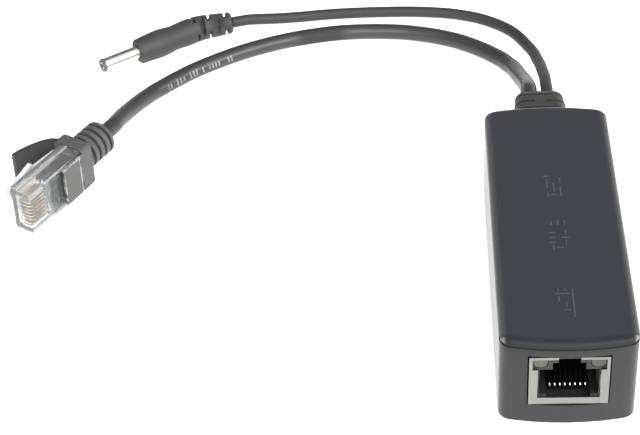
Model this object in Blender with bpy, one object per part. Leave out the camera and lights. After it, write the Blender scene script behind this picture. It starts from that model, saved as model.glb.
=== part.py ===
# Power over Ethernet splitter.
# A network lead that carries both data and power plugs into the jack of a small box.
# The box passes the data on by a lead with a network plug, and the power by a thin lead with a barrel plug.
# The box rests on z = 0, the jack faces -Y and both leads leave at +Y.

import bpy
import bmesh
from math import acos, atan2, ceil, cos, pi, radians, sin, sqrt
from mathutils import Matrix, Vector

MM = 0.001

# Clearances
SEAT = 0.3 * MM            # face to face gap between two pieces that seat on each other
SLIP = 0.15 * MM           # gap round a small piece that is pushed into a pocket
THROUGH = 1.0 * MM         # how far a cutting shape stands proud of the face that it cuts

# Housing
HOUSING_WIDTH = 27.8 * MM
HOUSING_LENGTH = 79.8 * MM     # over both bulged ends
END_BULGE = 1.65 * MM          # rise of each curved end over its corners
CORNER_ROUND = 2.1 * MM
BOTTOM_ROUND = 0.5 * MM
TOP_ROUND = 1.4 * MM           # measured along the lid; the edge drops less than this
SEAM_HEIGHT = 0.4 * MM         # of the shadow line round the lower shell, under the lid
SEAM_DEPTH = 0.35 * MM
WALL = 1.8 * MM
FLOOR = 1.8 * MM
COVER = 1.0 * MM
LIP_DEPTH = 2.2 * MM
LIP_THICKNESS = 1.2 * MM
END_STEPS = 8

# Circuit board and its posts
BOARD_THICKNESS = 1.6 * MM
BOARD_HEIGHT = 2.0 * MM        # clear height under the board
BOARD_MARGIN = 0.4 * MM        # from the board's edge to the wall
POST_RADIUS = 2.0 * MM
PIN_RADIUS = 0.9 * MM
PIN_RISE = 0.8 * MM
LEAD_RADIUS = 0.35 * MM
LEAD_HOLE_RADIUS = 0.6 * MM
LEAD_LENGTH = 1.0 * MM         # how far a lead stands out under the board
LEAD_REACH = 1.1 * MM          # how far a flat lead stands out beside its package

# Network jack
JACK_WIDTH = 16.0 * MM
JACK_HEIGHT = 12.8 * MM
JACK_DEPTH = 16.5 * MM
JACK_HEADROOM = 2.45 * MM      # from the jack's top to the parting line
JACK_RECESS = 0.3 * MM         # the frame's face behind the middle of the curved end
SHEET = 0.3 * MM
FRAME_SIDE = 1.72 * MM
FRAME_BOTTOM = 1.7 * MM
FRAME_LAMP_SIDE = 0.65 * MM
FRAME_LAMP_LOW = 9.4 * MM
FRAME_TOP = 0.6 * MM
LATCH_WIDTH = 4.4 * MM
LATCH_STEP_WIDTH = 6.6 * MM
SOCKET_WIDTH = 11.9 * MM
SOCKET_FLOOR = 2.3 * MM
SOCKET_HEIGHT = 6.9 * MM
SOCKET_DEPTH = 12.5 * MM
LATCH_STEP = 1.8 * MM
LATCH_RISE = 2.9 * MM
LAMP_WIDTH = 2.9 * MM
LAMP_HEIGHT = 2.25 * MM
LAMP_DEPTH = 5.0 * MM
TAB_LENGTH = 3.2 * MM
TAB_LEAN = 0.55 * MM
TAB_LOW = 4.5 * MM
TAB_HIGH = 7.9 * MM

# Contacts, the same pitch in the jack and in the plug
CONTACTS = 8
CONTACT_PITCH = 1.02 * MM
SPRING_WIRE = 0.4 * MM
SPRING_FRONT = 2.6 * MM
SPRING_BACK = 11.4 * MM
SPRING_REST = 1.3 * MM         # height of the lower run over the board
SPRING_BEND = 0.7 * MM         # radius of the front bend
SPRING_RISE = 2.0 * MM         # rise of the free arm from the bend to its end
PIN_SET = 0.4 * MM             # the rear row of pins stands this far behind the springs
PIN_ROW_STEP = 0.9 * MM        # between the two rows of pins
PIN_HOLE_RADIUS = 0.42 * MM
SPRING_SHORT = 1.0 * MM        # the free arm ends this far before the pins

# Electronic pieces, width by depth by height
FILTER = (12.8 * MM, 9.2 * MM, 5.6 * MM)
BRIDGE = (4.8 * MM, 4.0 * MM, 2.4 * MM)
CHIP = (5.0 * MM, 4.0 * MM, 1.6 * MM)
DIODE = (5.6 * MM, 4.2 * MM, 2.3 * MM)
INDUCTOR = (6.4 * MM, 6.4 * MM, 4.2 * MM)
INPUT_CAN_RADIUS = 4.0 * MM
INPUT_CAN_HEIGHT = 11.5 * MM
OUTPUT_CAN_RADIUS = 3.1 * MM
OUTPUT_CAN_HEIGHT = 9.5 * MM
CORE_WIDTH = 14.0 * MM
CORE_HEIGHT = 11.0 * MM
CORE_DEPTH = 4.6 * MM
CORE_YOKE = 2.2 * MM
CORE_LEG = 4.4 * MM            # the middle leg; each outer leg is half of it
BOBBIN_WALL = 0.6 * MM
BOBBIN_OVERHANG = 2.6 * MM     # how far the bobbin stands out past the core, front and back
COIL_HEIGHT = 4.0 * MM
BESIDE_GAP = 1.2 * MM          # gap between two pieces side by side on the board

# Strain relief of both leads
RELIEF_HEIGHT = 11.5 * MM      # centre line over the ground
RELIEF_WIDTH = 13.8 * MM
RELIEF_DEPTH = 9.0 * MM
RELIEF_END_WIDTH = 11.3 * MM
RELIEF_END_DEPTH = 7.2 * MM
RELIEF_LENGTH = 16.0 * MM      # outside the housing
RELIEF_CORNER = 2.8 * MM
RELIEF_COLLAR = 2.4 * MM
NECK_WIDTH = 10.0 * MM
NECK_DEPTH = 6.0 * MM
INNER_FLANGE = 1.6 * MM
SLOT_PITCH = 3.0 * MM
SLOT_WIDTH = 0.9 * MM
SLOT_BRIDGE = 2.6 * MM
SLOT_DEPTH = 1.5 * MM
SLOT_FROM_END = 2.0 * MM

# Leads: their routes are in metres, from the strain relief to the plug
NETWORK_CABLE_RADIUS = 2.05 * MM
POWER_CABLE_RADIUS = 1.45 * MM
NETWORK_EXIT_X = -2.15 * MM
POWER_EXIT_X = 2.3 * MM
LEAD_STRAIGHT = 4.0 * MM       # straight run of a lead out of its moulding
NETWORK_ROUTE_STEP = 9.0 * MM
POWER_ROUTE_STEP = 7.0 * MM

# Network plug, lying on its narrow side with its latch away from +X
PLUG_X = -120.05 * MM
PLUG_Y = 23.3 * MM
PLUG_Z = 0.1 * MM
PLUG_TURN = 60.0
PLUG_LEAN = 2.0                # it leans a little, held by its stiff lead
PLUG_LENGTH = 21.4 * MM
PLUG_WIDTH = 11.68 * MM
PLUG_THICKNESS = 5.6 * MM
PLUG_NOSE = 0.7 * MM
BLADE_LENGTH = 5.0 * MM
BLADE_HEIGHT = 2.3 * MM
BLADE_THICKNESS = 0.35 * MM
BLADE_SET_BACK = 0.9 * MM
BLADE_INSET = 0.35 * MM
TOOTH_HEIGHT = 0.45 * MM
WIRE_RADIUS = 0.44 * MM
WIRE_DEPTH = 3.75 * MM         # wire centre over the contact side
WIRE_START = 1.4 * MM
WIRE_CHAMBER = 7.4 * MM        # end of the chamber that the wires lie in
PLUG_WALL = 1.2 * MM
PLUG_SIDE_WALL = 1.7 * MM
WINDOW_START = 10.4 * MM
WINDOW_LENGTH = 1.4 * MM
LATCH_ROOT = 1.2 * MM
LATCH_ROOT_WIDTH = 6.2 * MM
LATCH_LEVER_WIDTH = 3.25 * MM
LATCH_LEVER = 1.1 * MM
LATCH_START_HEIGHT = 2.0 * MM
LATCH_SHOULDER = 12.4 * MM
LATCH_SHOULDER_HEIGHT = 4.2 * MM
LATCH_END = 20.8 * MM
LATCH_END_HEIGHT = 3.6 * MM

# Moulded boot of the network plug
BOOT_RIM = 19.4 * MM           # where the boot starts, from the plug's nose
BOOT_LENGTH = 4.0 * MM
BOOT_SKIN = 0.9 * MM           # how far the boot stands proud of the plug's contact side
BOOT_HEIGHT = 8.5 * MM
BOOT_SIDE = 0.4 * MM           # how far it stands proud of the plug's upper narrow side
BOOT_ROUND = 1.0 * MM
CORE_INSET = 1.0 * MM          # the core is narrower by this in front of the crimp window
SLEEVE_START = 12.2 * MM       # of the flat sleeve that lies along the plug's contact side
SLEEVE_EDGE = 0.6 * MM         # from each narrow side of the plug to the sleeve
GROOVE_START = 18.3 * MM       # of the shallow groove across the sleeve
GROOVE_WIDTH = 0.5 * MM
GROOVE_DEPTH = 0.25 * MM
TAIL_LENGTH = 9.6 * MM
TAIL_RADIUS = 4.3 * MM
TAIL_CENTRE = 4.2 * MM         # over the contact side
TAIL_GROOVE_START = 1.05 * MM  # from the boot's back to the first ring groove
TAIL_GROOVE_PITCH = 2.1 * MM
TAIL_GROOVE_WIDTH = 0.9 * MM
TAIL_GROOVE_DEPTH = 1.1 * MM
TAIL_GROOVES = 4
TAIL_END_ROUND = 0.7 * MM
HOOD_THICKNESS = 1.1 * MM
HOOD_WIDTH = 8.2 * MM
HOOD_REACH = 11.0 * MM         # how far the hood comes back over the latch
HOOD_RISE = 6.8 * MM           # how far it stands off the boot's top

# Barrel plug of the power lead
POWER_PLUG_X = -111.85 * MM
POWER_PLUG_Y = 87.6 * MM
POWER_PLUG_TURN = 35.0
BARREL_RADIUS = 1.75 * MM
BARREL_WALL = 0.3 * MM
BARREL_LENGTH = 10.7 * MM
TIP_LENGTH = 0.8 * MM
CONTACT_BORE = 0.675 * MM
CONTACT_WALL = 0.27 * MM
HANDLE_RADIUS = 3.7 * MM       # of the belly
HANDLE_FRONT_RADIUS = 3.35 * MM
HANDLE_WAIST = 0.45 * MM       # how much slimmer the waist is than the belly
HANDLE_LENGTH = 27.7 * MM
HANDLE_GRIP = 16.6 * MM        # smooth length before the slots
HANDLE_END_RADIUS = 2.85 * MM
HANDLE_SLOT_PITCH = 2.2 * MM
HANDLE_SLOT_DEPTH = 1.1 * MM
HANDLE_SLOTS = 5
HANDLE_BRIDGE = 3.4 * MM
HANDLE_ROLL = 54.0             # turn of the slots about the plug's own axis
HANDLE_BEND = -20.0            # how far the flexible end bends with the lead
HANDLE_BEND_LENGTH = 4.0 * MM
BARREL_SEAT = 4.0 * MM         # length of barrel held in the handle

# Sizes worked out from the ones above
half_width = HOUSING_WIDTH / 2
half_length = HOUSING_LENGTH / 2
end_radius = (half_width ** 2 + END_BULGE ** 2) / (2 * END_BULGE)
corner_round = min(CORNER_ROUND, 1.2 * WALL)
bottom_round = min(BOTTOM_ROUND, 0.9 * corner_round, 0.9 * FLOOR)
top_round = min(TOP_ROUND, 0.9 * corner_round)
board_bottom = FLOOR + BOARD_HEIGHT
board_top = board_bottom + BOARD_THICKNESS
jack_bottom = board_top + SLIP
jack_top = jack_bottom + JACK_HEIGHT
parting = jack_top + JACK_HEADROOM
cover_bottom = parting + SEAT
housing_height = cover_bottom + COVER
jack_front = -half_length + JACK_RECESS
jack_back = jack_front + JACK_DEPTH
board_half_width = half_width - WALL - BOARD_MARGIN
relief_start = half_length + SEAT
relief_end = relief_start + RELIEF_LENGTH
flange_back = (half_length - end_radius + sqrt((end_radius - WALL) ** 2 - (RELIEF_WIDTH / 2) ** 2) - SEAT)
flange_front = flange_back - INNER_FLANGE

NETWORK_ROUTE = [
    (-0.0022, 0.0638, 0.0105), (-0.0024, 0.0675, 0.0089), (-0.0028, 0.0714, 0.0073),
    (-0.0033, 0.0750, 0.0058), (-0.0039, 0.0788, 0.0045), (-0.0046, 0.0823, 0.0034),
    (-0.0059, 0.0855, 0.0026), (-0.0076, 0.0885, 0.0022), (-0.0124, 0.0932, 0.0021),
    (-0.0178, 0.0970, 0.0021), (-0.0230, 0.0995, 0.0021), (-0.0285, 0.1013, 0.0021),
    (-0.0340, 0.1025, 0.0021), (-0.0420, 0.1031, 0.0021), (-0.0500, 0.1028, 0.0021),
    (-0.0577, 0.1014, 0.0021), (-0.0656, 0.0991, 0.0021), (-0.0735, 0.0957, 0.0021),
    (-0.0811, 0.0913, 0.0021), (-0.0887, 0.0857, 0.0021), (-0.0957, 0.0787, 0.0022),
    (-0.0980, 0.0756, 0.0025), (-0.1001, 0.0718, 0.0031), (-0.1020, 0.0674, 0.0039),
    (-0.1036, 0.0626, 0.0050)]

POWER_ROUTE = [
    (0.0023, 0.0656, 0.0105), (0.0024, 0.0702, 0.0091), (0.0022, 0.0751, 0.0075),
    (0.0020, 0.0801, 0.0059), (0.0015, 0.0852, 0.0043), (0.0010, 0.0900, 0.0029),
    (-0.0001, 0.0946, 0.0018), (-0.0016, 0.0983, 0.0015), (-0.0039, 0.1021, 0.0015),
    (-0.0074, 0.1056, 0.0015), (-0.0121, 0.1088, 0.0015), (-0.0175, 0.1110, 0.0015),
    (-0.0230, 0.1123, 0.0015), (-0.0310, 0.1132, 0.0015), (-0.0390, 0.1134, 0.0015),
    (-0.0470, 0.1133, 0.0015), (-0.0545, 0.1128, 0.0015), (-0.0609, 0.1119, 0.0016),
    (-0.0662, 0.1107, 0.0021), (-0.0712, 0.1095, 0.0028)]


# Scene and materials

def clear_scene():
    for thing in list(bpy.data.objects):
        bpy.data.objects.remove(thing, do_unlink=True)


def material(name, colour, roughness, metallic=0.0, alpha=1.0):
    mat = bpy.data.materials.new(name)
    mat.use_nodes = True
    shader = mat.node_tree.nodes["Principled BSDF"]
    shader.inputs["Base Color"].default_value = (*colour, 1.0)
    shader.inputs["Roughness"].default_value = roughness
    shader.inputs["Metallic"].default_value = metallic
    shader.inputs["Alpha"].default_value = alpha
    return mat


def frame(name, position, turn=0.0, lean=0.0):
    empty = bpy.data.objects.new(name, None)
    empty.location = position
    empty.rotation_euler = (radians(lean), 0.0, radians(turn))
    bpy.context.collection.objects.link(empty)
    return empty


def make_object(name, bm, mat=None, parent=None, smooth=None):
    bmesh.ops.recalc_face_normals(bm, faces=bm.faces)
    mesh = bpy.data.meshes.new(name)
    bm.to_mesh(mesh)
    bm.free()
    if mat is not None:
        mesh.materials.append(mat)
    if smooth is not None:
        mesh.shade_smooth()
        mesh.set_sharp_from_angle(angle=radians(smooth))
    thing = bpy.data.objects.new(name, mesh)
    bpy.context.collection.objects.link(thing)
    thing.parent = parent
    return thing


def combine(thing, bm, operation, name):
    tool = make_object(name, bm, parent=thing.parent)
    tool.hide_render = True
    tool.display_type = "WIRE"
    modifier = thing.modifiers.new(name, "BOOLEAN")
    modifier.operation = operation
    modifier.solver = "EXACT"
    modifier.object = tool


def cut(thing, bm, name):
    combine(thing, bm, "DIFFERENCE", name)


def add(thing, bm, name):
    combine(thing, bm, "UNION", name)


# Shapes

def prism(outline, low, high, axis="Z"):
    """A closed outline pushed from low to high along one axis."""
    place = {"X": lambda u, v, w: (w, u, v), "Y": lambda u, v, w: (u, w, v),
             "Z": lambda u, v, w: (u, v, w)}[axis]
    bm = bmesh.new()
    base = bm.faces.new([bm.verts.new(place(u, v, low)) for u, v in outline])
    pushed = bmesh.ops.extrude_face_region(bm, geom=[base])
    top = [item for item in pushed["geom"] if isinstance(item, bmesh.types.BMVert)]
    bmesh.ops.translate(bm, verts=top, vec=Vector(place(0, 0, high - low)))
    return bm


def box(low, high):
    outline = [(low[0], low[1]), (high[0], low[1]), (high[0], high[1]), (low[0], high[1])]
    return prism(outline, low[2], high[2])


def merge(*parts):
    """Several shapes in one mesh, each still a body of its own."""
    joined = bmesh.new()
    for part in parts:
        mesh = bpy.data.meshes.new("part")
        part.to_mesh(mesh)
        part.free()
        joined.from_mesh(mesh)
        bpy.data.meshes.remove(mesh)
    return joined


def shifted(bm, x=0.0, y=0.0, z=0.0):
    bmesh.ops.translate(bm, verts=bm.verts, vec=(x, y, z))
    return bm


def round_edges(bm, chosen, width, segments):
    bmesh.ops.bevel(bm, geom=chosen, offset=width, offset_type="OFFSET", affect="EDGES",
                    segments=segments, profile=0.5, material=-1, clamp_overlap=True)


def edges_where(bm, test):
    return [edge for edge in bm.edges if test(edge.verts[0].co) and test(edge.verts[1].co)]


def upright_edges(bm, test):
    return [edge for edge in edges_where(bm, test)
            if abs(edge.verts[0].co.z - edge.verts[1].co.z) > 0.5 * MM
            and (edge.verts[0].co.xy - edge.verts[1].co.xy).length < 0.01 * MM]


def circle(radius, steps, x=0.0, y=0.0, start=0.0):
    return [(x + radius * cos(start + 2 * pi * i / steps), y + radius * sin(start + 2 * pi * i / steps))
            for i in range(steps)]


def rounded_box(size, low_z, x=0.0, y=0.0, edge=0.3 * MM, steps=1):
    """A moulded block centred on x and y, with softened upright and top edges."""
    w, d, h = size
    bm = box((x - w / 2, y - d / 2, low_z), (x + w / 2, y + d / 2, low_z + h))
    soft = [e for e in bm.edges if max(v.co.z for v in e.verts) > low_z + h / 2]
    round_edges(bm, soft, edge, steps)
    return bm


def lathe(profile, steps, axis="Z", x=0.0, y=0.0, z=0.0):
    """A profile of (radius, height) points turned round an axis, closed where its radius is zero."""
    bm = bmesh.new()
    points = [bm.verts.new((r, 0.0, h)) for r, h in profile]
    edges = [bm.edges.new(pair) for pair in zip(points, points[1:])]
    if profile[0][0] > 0 and profile[-1][0] > 0:
        edges.append(bm.edges.new((points[-1], points[0])))
    bmesh.ops.spin(bm, geom=points + edges, cent=(0, 0, 0), axis=(0, 0, 1), angle=2 * pi, steps=steps,
                   use_merge=True, use_normal_flip=False, use_duplicate=False, dvec=(0, 0, 0))
    bmesh.ops.remove_doubles(bm, verts=bm.verts, dist=0.001 * MM)
    if axis == "X":
        bmesh.ops.rotate(bm, verts=bm.verts, cent=(0, 0, 0), matrix=Matrix.Rotation(pi / 2, 3, "Y"))
    return shifted(bm, x, y, z)


def oval(width, height, steps, corner=None):
    """A rectangle with rounded corners, which are full half circles where no corner radius is given."""
    r = min(width / 2, height / 2, corner or height)
    points = []
    for i in range(steps):
        angle = 2 * pi * (i + 0.5) / steps
        points.append((r * cos(angle) + (1 if cos(angle) > 0 else -1) * (width / 2 - r),
                       r * sin(angle) + (1 if sin(angle) > 0 else -1) * (height / 2 - r)))
    return points


def loft(sections, steps, corner):
    """Oval sections (x, width, height) joined along X."""
    bm = bmesh.new()
    rings = []
    for x, width, height in sections:
        rings.append([bm.verts.new((x, u, v)) for u, v in oval(width, height, steps, corner)])
    for near, far in zip(rings, rings[1:]):
        for i in range(steps):
            j = (i + 1) % steps
            bm.faces.new((near[i], near[j], far[j], far[i]))
    bm.faces.new(rings[0])
    bm.faces.new(rings[-1])
    return bm


def flex_slots(x, thick, core_width, core_height, reach, bridge, upright):
    """Two half-round cutters that leave a core and two bridges, as a moulded strain relief has them."""
    a, b = (core_width / 2, core_height / 2) if not upright else (core_height / 2, core_width / 2)
    half_bridge = min(bridge / 2, 0.8 * a)
    limit = acos(half_bridge / a)
    steps = 8
    turns = [limit - 2 * limit * i / steps for i in range(steps + 1)]
    arc = [(a * cos(turn), b * sin(turn)) for turn in turns]
    outline = [(half_bridge, reach)] + arc + [(half_bridge, -reach), (reach, -reach), (reach, reach)]
    halves = []
    for side in (1, -1):
        turned = [(side * u, v) for u, v in outline]
        if upright:
            turned = [(v, u) for u, v in turned]
        halves.append(prism(turned, x - thick / 2, x + thick / 2, "X"))
    return merge(*halves)


def rolled(bm, angle):
    bmesh.ops.rotate(bm, verts=bm.verts, cent=(0, 0, 0), matrix=Matrix.Rotation(radians(angle), 3, "X"))
    return bm


def bent_point(point, start, length, angle):
    """Where a point goes when the stretch from start on bends sideways, and what follows stays straight."""
    past = point.x - start
    if past <= 0 or angle == 0:
        return point
    turn = radians(angle) * min(past / length, 1.0)
    radius = length / radians(angle)
    centre = Vector((start, radius, point.z))
    here = centre + Vector((sin(turn), -cos(turn), 0.0)) * (radius - point.y)
    return here + Vector((cos(turn), sin(turn), 0.0)) * max(past - length, 0.0)


def bent(bm, start, length, angle):
    for vert in bm.verts:
        vert.co = bent_point(vert.co.copy(), start, length, angle)
    return bm


def in_world(point, x, y, z, turn, lean=0.0):
    """A point of a piece's own frame in the part's frame."""
    tilt = Matrix.Rotation(radians(turn), 3, "Z") @ Matrix.Rotation(radians(lean), 3, "X")
    return Vector((x, y, z)) + tilt @ point


def ribbon(path, thickness):
    """The outline of a strip of even thickness along a path in a plane."""
    left, right = [], []
    for i, here in enumerate(path):
        before, after = path[max(i - 1, 0)], path[min(i + 1, len(path) - 1)]
        here = Vector(here)
        into = (here - Vector(before)).normalized() if i > 0 else None
        out = (Vector(after) - here).normalized() if i < len(path) - 1 else None
        into, out = into or out, out or into
        along = (into + out).normalized()
        side = Vector((-along.y, along.x)) * (thickness / 2 / max(along.dot(out), 0.5))
        left.append(tuple(here + side))
        right.append(tuple(here - side))
    return left + right[::-1]


def arc_points(centre, radius, start, stop, steps):
    return [(centre[0] + radius * cos(radians(start + (stop - start) * i / steps)),
             centre[1] + radius * sin(radians(start + (stop - start) * i / steps))) for i in range(steps + 1)]


# Housing

def end_y(x, inset=0.0):
    """Distance from the middle of the box to its curved end, at a distance x from the centre line."""
    return half_length - end_radius + sqrt((end_radius - inset) ** 2 - x ** 2)


def plan(inset=0.0):
    """The box's outline from above: straight sides and two curved ends."""
    half = half_width - inset
    across = [half - 2 * half * i / END_STEPS for i in range(END_STEPS + 1)]
    back = [(x, end_y(x, inset)) for x in across]
    front = [(-x, -y) for x, y in back]
    return back + front


def rounded_plan(inset, low, high):
    """The box's outline with round corners, pushed from low to high."""
    half = half_width - inset
    corner_y = end_y(half, inset) - 0.01 * MM
    bm = prism(plan(inset), low, high)
    corners = upright_edges(bm, lambda p: abs(p.x) > half - 0.01 * MM and abs(p.y) > corner_y)
    round_edges(bm, corners, corner_round - inset, 3)
    return bm


def end_strip(half, outer, inner):
    """A piece of the rear end wall that reaches the given half width to either side."""
    xs = [half - 2 * half * i / 4 for i in range(5)]
    return [(x, end_y(x, outer)) for x in xs] + [(x, end_y(x, inner)) for x in reversed(xs)]


def board_posts():
    """Centres of the four posts that carry the circuit board."""
    x = board_half_width - POST_RADIUS
    y_low, y_high = jack_back + POST_RADIUS, flange_front - 2 * POST_RADIUS
    return [(side * x, y) for side in (-1, 1) for y in (y_low, y_high)]


def base_shell(mat):
    seam = parting - SEAM_HEIGHT
    bm = rounded_plan(0.0, 0.0, seam)
    round_edges(bm, edges_where(bm, lambda p: p.z < 0.01 * MM), bottom_round, 3)
    shell = make_object("base_shell", bm, mat, smooth=35)
    add(shell, rounded_plan(SEAM_DEPTH, seam - WALL / 2, parting), "seam_step")
    cut(shell, prism(plan(WALL), FLOOR, parting + THROUGH), "inside_of_base")
    jack_half = JACK_WIDTH / 2 + SEAT
    cut(shell, box((-jack_half, -half_length - THROUGH, jack_bottom - SEAT),
                   (jack_half, -end_y(jack_half, WALL) + THROUGH, jack_top + SEAT)), "jack_window")
    slot_half = NECK_WIDTH / 2 + SEAT
    radius = NECK_DEPTH / 2 + SEAT
    flat = slot_half - radius
    outline = (arc_points((flat, RELIEF_HEIGHT), radius, 0, -90, 4)
               + arc_points((-flat, RELIEF_HEIGHT), radius, -90, -180, 4)
               + [(-slot_half, parting + THROUGH), (slot_half, parting + THROUGH)])
    cut(shell, prism(outline, end_y(slot_half, WALL) - THROUGH, half_length + THROUGH, "Y"), "lead_slot")
    posts = [prism(circle(POST_RADIUS, 14, x, y), FLOOR - WALL / 2, board_bottom - SEAT)
             for x, y in board_posts()]
    pins = [prism(circle(PIN_RADIUS, 10, x, y), board_bottom - WALL, board_top + PIN_RISE)
            for x, y in board_posts()]
    add(shell, merge(*posts), "board_posts")
    add(shell, merge(*pins), "board_pins")
    return shell


def top_cover(mat):
    """The lid, whose edge falls away gently: it is rounded on a taller block that is then pressed flat."""
    tall = top_round / 0.9
    bm = rounded_plan(0.0, 0.0, tall)
    round_edges(bm, edges_where(bm, lambda p: p.z > tall - 0.01 * MM), top_round, 4)
    for vert in bm.verts:
        vert.co.z = cover_bottom + vert.co.z * COVER / tall
    cover = make_object("top_cover", bm, mat, smooth=35)
    overlap = COVER / 2
    add(cover, prism(plan(WALL + SLIP), parting - LIP_DEPTH, cover_bottom + overlap), "lip")
    inner = WALL + SLIP + LIP_THICKNESS
    cut(cover, prism(plan(inner), parting - LIP_DEPTH - THROUGH, cover_bottom), "inside_of_lip")
    jack_half = JACK_WIDTH / 2 + SEAT
    cut(cover, box((-jack_half, -half_length - THROUGH, parting - LIP_DEPTH - THROUGH),
                   (jack_half, jack_back, cover_bottom)), "lip_gap_at_jack")
    tongue_low = RELIEF_HEIGHT + NECK_DEPTH / 2 + SEAT
    tongue = end_strip(NECK_WIDTH / 2, 0.05 * MM, WALL)
    add(cover, prism(tongue, tongue_low, cover_bottom + overlap), "slot_tongue")
    return cover


# Network jack, drawn from the middle of its front face at board level: X across, Y into the box

def jack_frame_opening():
    low_half = JACK_WIDTH / 2 - FRAME_SIDE
    high_half = JACK_WIDTH / 2 - FRAME_LAMP_SIDE
    latch_half = LATCH_WIDTH / 2
    top = JACK_HEIGHT - FRAME_TOP
    latch_top = JACK_HEIGHT + THROUGH
    right = [(low_half, FRAME_BOTTOM), (low_half, FRAME_LAMP_LOW), (high_half, FRAME_LAMP_LOW),
             (high_half, top), (latch_half, top), (latch_half, latch_top)]
    return right + [(-x, z) for x, z in reversed(right)]


def jack_shield(mat, parent):
    half = JACK_WIDTH / 2
    shield = make_object("jack_shield", box((-half, 0, 0), (half, JACK_DEPTH, JACK_HEIGHT)), mat, parent)
    cut(shield, box((-half + SHEET, SHEET, -THROUGH),
                    (half - SHEET, JACK_DEPTH - SHEET, JACK_HEIGHT - SHEET)),
        "inside_of_shield")
    cut(shield, prism(jack_frame_opening(), -THROUGH, SHEET + 0.2 * MM, "Y"), "shield_opening")
    edge = half - FRAME_SIDE
    tabs = []
    for side in (-1, 1):
        path = [(side * (edge + SHEET), SHEET / 2), (side * (edge - SHEET / 2), SHEET / 2 + SHEET),
                (side * (edge - TAB_LEAN), TAB_LENGTH)]
        tabs.append(prism(ribbon(path, SHEET * 0.8), TAB_LOW, TAB_HIGH))
    add(shield, merge(*tabs), "ground_tabs")
    return shield


def lamp_centre():
    x = JACK_WIDTH / 2 - FRAME_LAMP_SIDE - LAMP_WIDTH / 2 - SLIP
    top = JACK_HEIGHT - FRAME_TOP - SLIP
    return x, top - LAMP_HEIGHT


def lamp_outline(grow=0.0):
    """Flat at the top and round at the bottom."""
    half = LAMP_WIDTH / 2 + grow
    drop = LAMP_HEIGHT * 0.55
    bottom = [(half * cos(radians(a)), drop + (drop + grow) * sin(radians(a))) for a in range(0, -181, -30)]
    return bottom + [(-half, LAMP_HEIGHT + grow), (half, LAMP_HEIGHT + grow)]


def contact_x(number):
    return (number - (CONTACTS - 1) / 2) * CONTACT_PITCH


def pin_y(number):
    """The pins stand in two rows, so that their holes in the board keep their distance."""
    return SPRING_BACK + PIN_SET - (PIN_ROW_STEP if number % 2 else 0.0)


def jack_body(mat, parent):
    half = JACK_WIDTH / 2 - SHEET - SLIP
    front = SHEET + SLIP
    bm = box((-half, front, SLIP), (half, JACK_DEPTH - SHEET - SLIP, JACK_HEIGHT - SHEET - SLIP))
    body = make_object("jack_body", bm, mat, parent)
    w, step, latch = SOCKET_WIDTH / 2, LATCH_STEP_WIDTH / 2, LATCH_WIDTH / 2
    low, high = SOCKET_FLOOR, SOCKET_FLOOR + SOCKET_HEIGHT
    right = [(w, low), (w, high), (step, high), (step, high + LATCH_STEP), (latch, high + LATCH_STEP),
             (latch, high + LATCH_RISE)]
    cut(body, prism(right + [(-x, z) for x, z in reversed(right)], -THROUGH, SOCKET_DEPTH, "Y"), "socket")
    bed = CONTACTS * CONTACT_PITCH / 2 + SEAT
    bed_floor = SPRING_REST - SPRING_WIRE
    hole = SPRING_WIRE / 2 + SLIP
    bed_back = SPRING_BACK + PIN_SET + hole + 0.1 * MM
    cut(body, box((-bed, -THROUGH, bed_floor), (bed, bed_back, low + 0.1 * MM)), "contact_bed")
    holes = [box((contact_x(i) - hole, pin_y(i) - hole, -THROUGH),
                 (contact_x(i) + hole, pin_y(i) + hole, low)) for i in range(CONTACTS)]
    cut(body, merge(*holes), "pin_holes")
    relief = JACK_WIDTH / 2 - FRAME_SIDE + SHEET
    cut(body, box((-relief, 0.0, TAB_LOW - SLIP), (relief, TAB_LENGTH + SEAT, TAB_HIGH + SLIP)),
        "tab_clearance")
    x, z = lamp_centre()
    pocket_depth = LAMP_DEPTH + 2 * SLIP + front
    pockets = [shifted(prism(lamp_outline(SLIP), -THROUGH, pocket_depth, "Y"), side * x, 0.0, z)
               for side in (-1, 1)]
    cut(body, merge(*pockets), "lamp_pockets")
    return body


def jack_contact(number, mat, parent):
    """A spring wire: up from the board at the back, forward under the floor, then round and back up."""
    low = SPRING_REST
    bend_y = SPRING_FRONT + SPRING_BEND
    bend = arc_points((bend_y, low + SPRING_BEND), SPRING_BEND, 270, 105, 4)
    path = [(pin_y(number), -BOARD_THICKNESS - LEAD_LENGTH), (pin_y(number), low)] + bend
    path.append((SPRING_BACK - SPRING_SHORT, low + 2 * SPRING_BEND + SPRING_RISE))
    x = contact_x(number)
    bm = prism(ribbon(path, SPRING_WIRE), x - SPRING_WIRE / 2, x + SPRING_WIRE / 2, "X")
    return make_object("jack_contact_%d" % (number + 1), bm, mat, parent)


def lamp_lens(side, mat, parent):
    x, z = lamp_centre()
    start = SHEET + SLIP
    bm = shifted(prism(lamp_outline(), start, start + LAMP_DEPTH, "Y"), side * x, 0.0, z)
    return make_object("lamp_lens_left" if side < 0 else "lamp_lens_right", bm, mat, parent)


# Circuit board and what stands on it

lead_holes = []


def lead(x, y, start):
    """A round lead from a component down through the board, whose hole is noted for the board."""
    lead_holes.append((x, y, LEAD_HOLE_RADIUS))
    return prism(circle(LEAD_RADIUS, 8, x, y), board_bottom - LEAD_LENGTH, start)


def gull_wing(x, y, side, start_z, body_half, reach, width):
    """A flat lead that leaves a package's side, steps down and lies on the board."""
    foot = board_top + SLIP + 0.1 * MM
    path = [(x + side * (body_half - 0.3 * MM), start_z), (x + side * (body_half + 0.35 * reach), start_z),
            (x + side * (body_half + 0.55 * reach), foot), (x + side * (body_half + reach), foot)]
    return prism(ribbon(path, 0.2 * MM), y - width / 2, y + width / 2, "Y")


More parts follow.
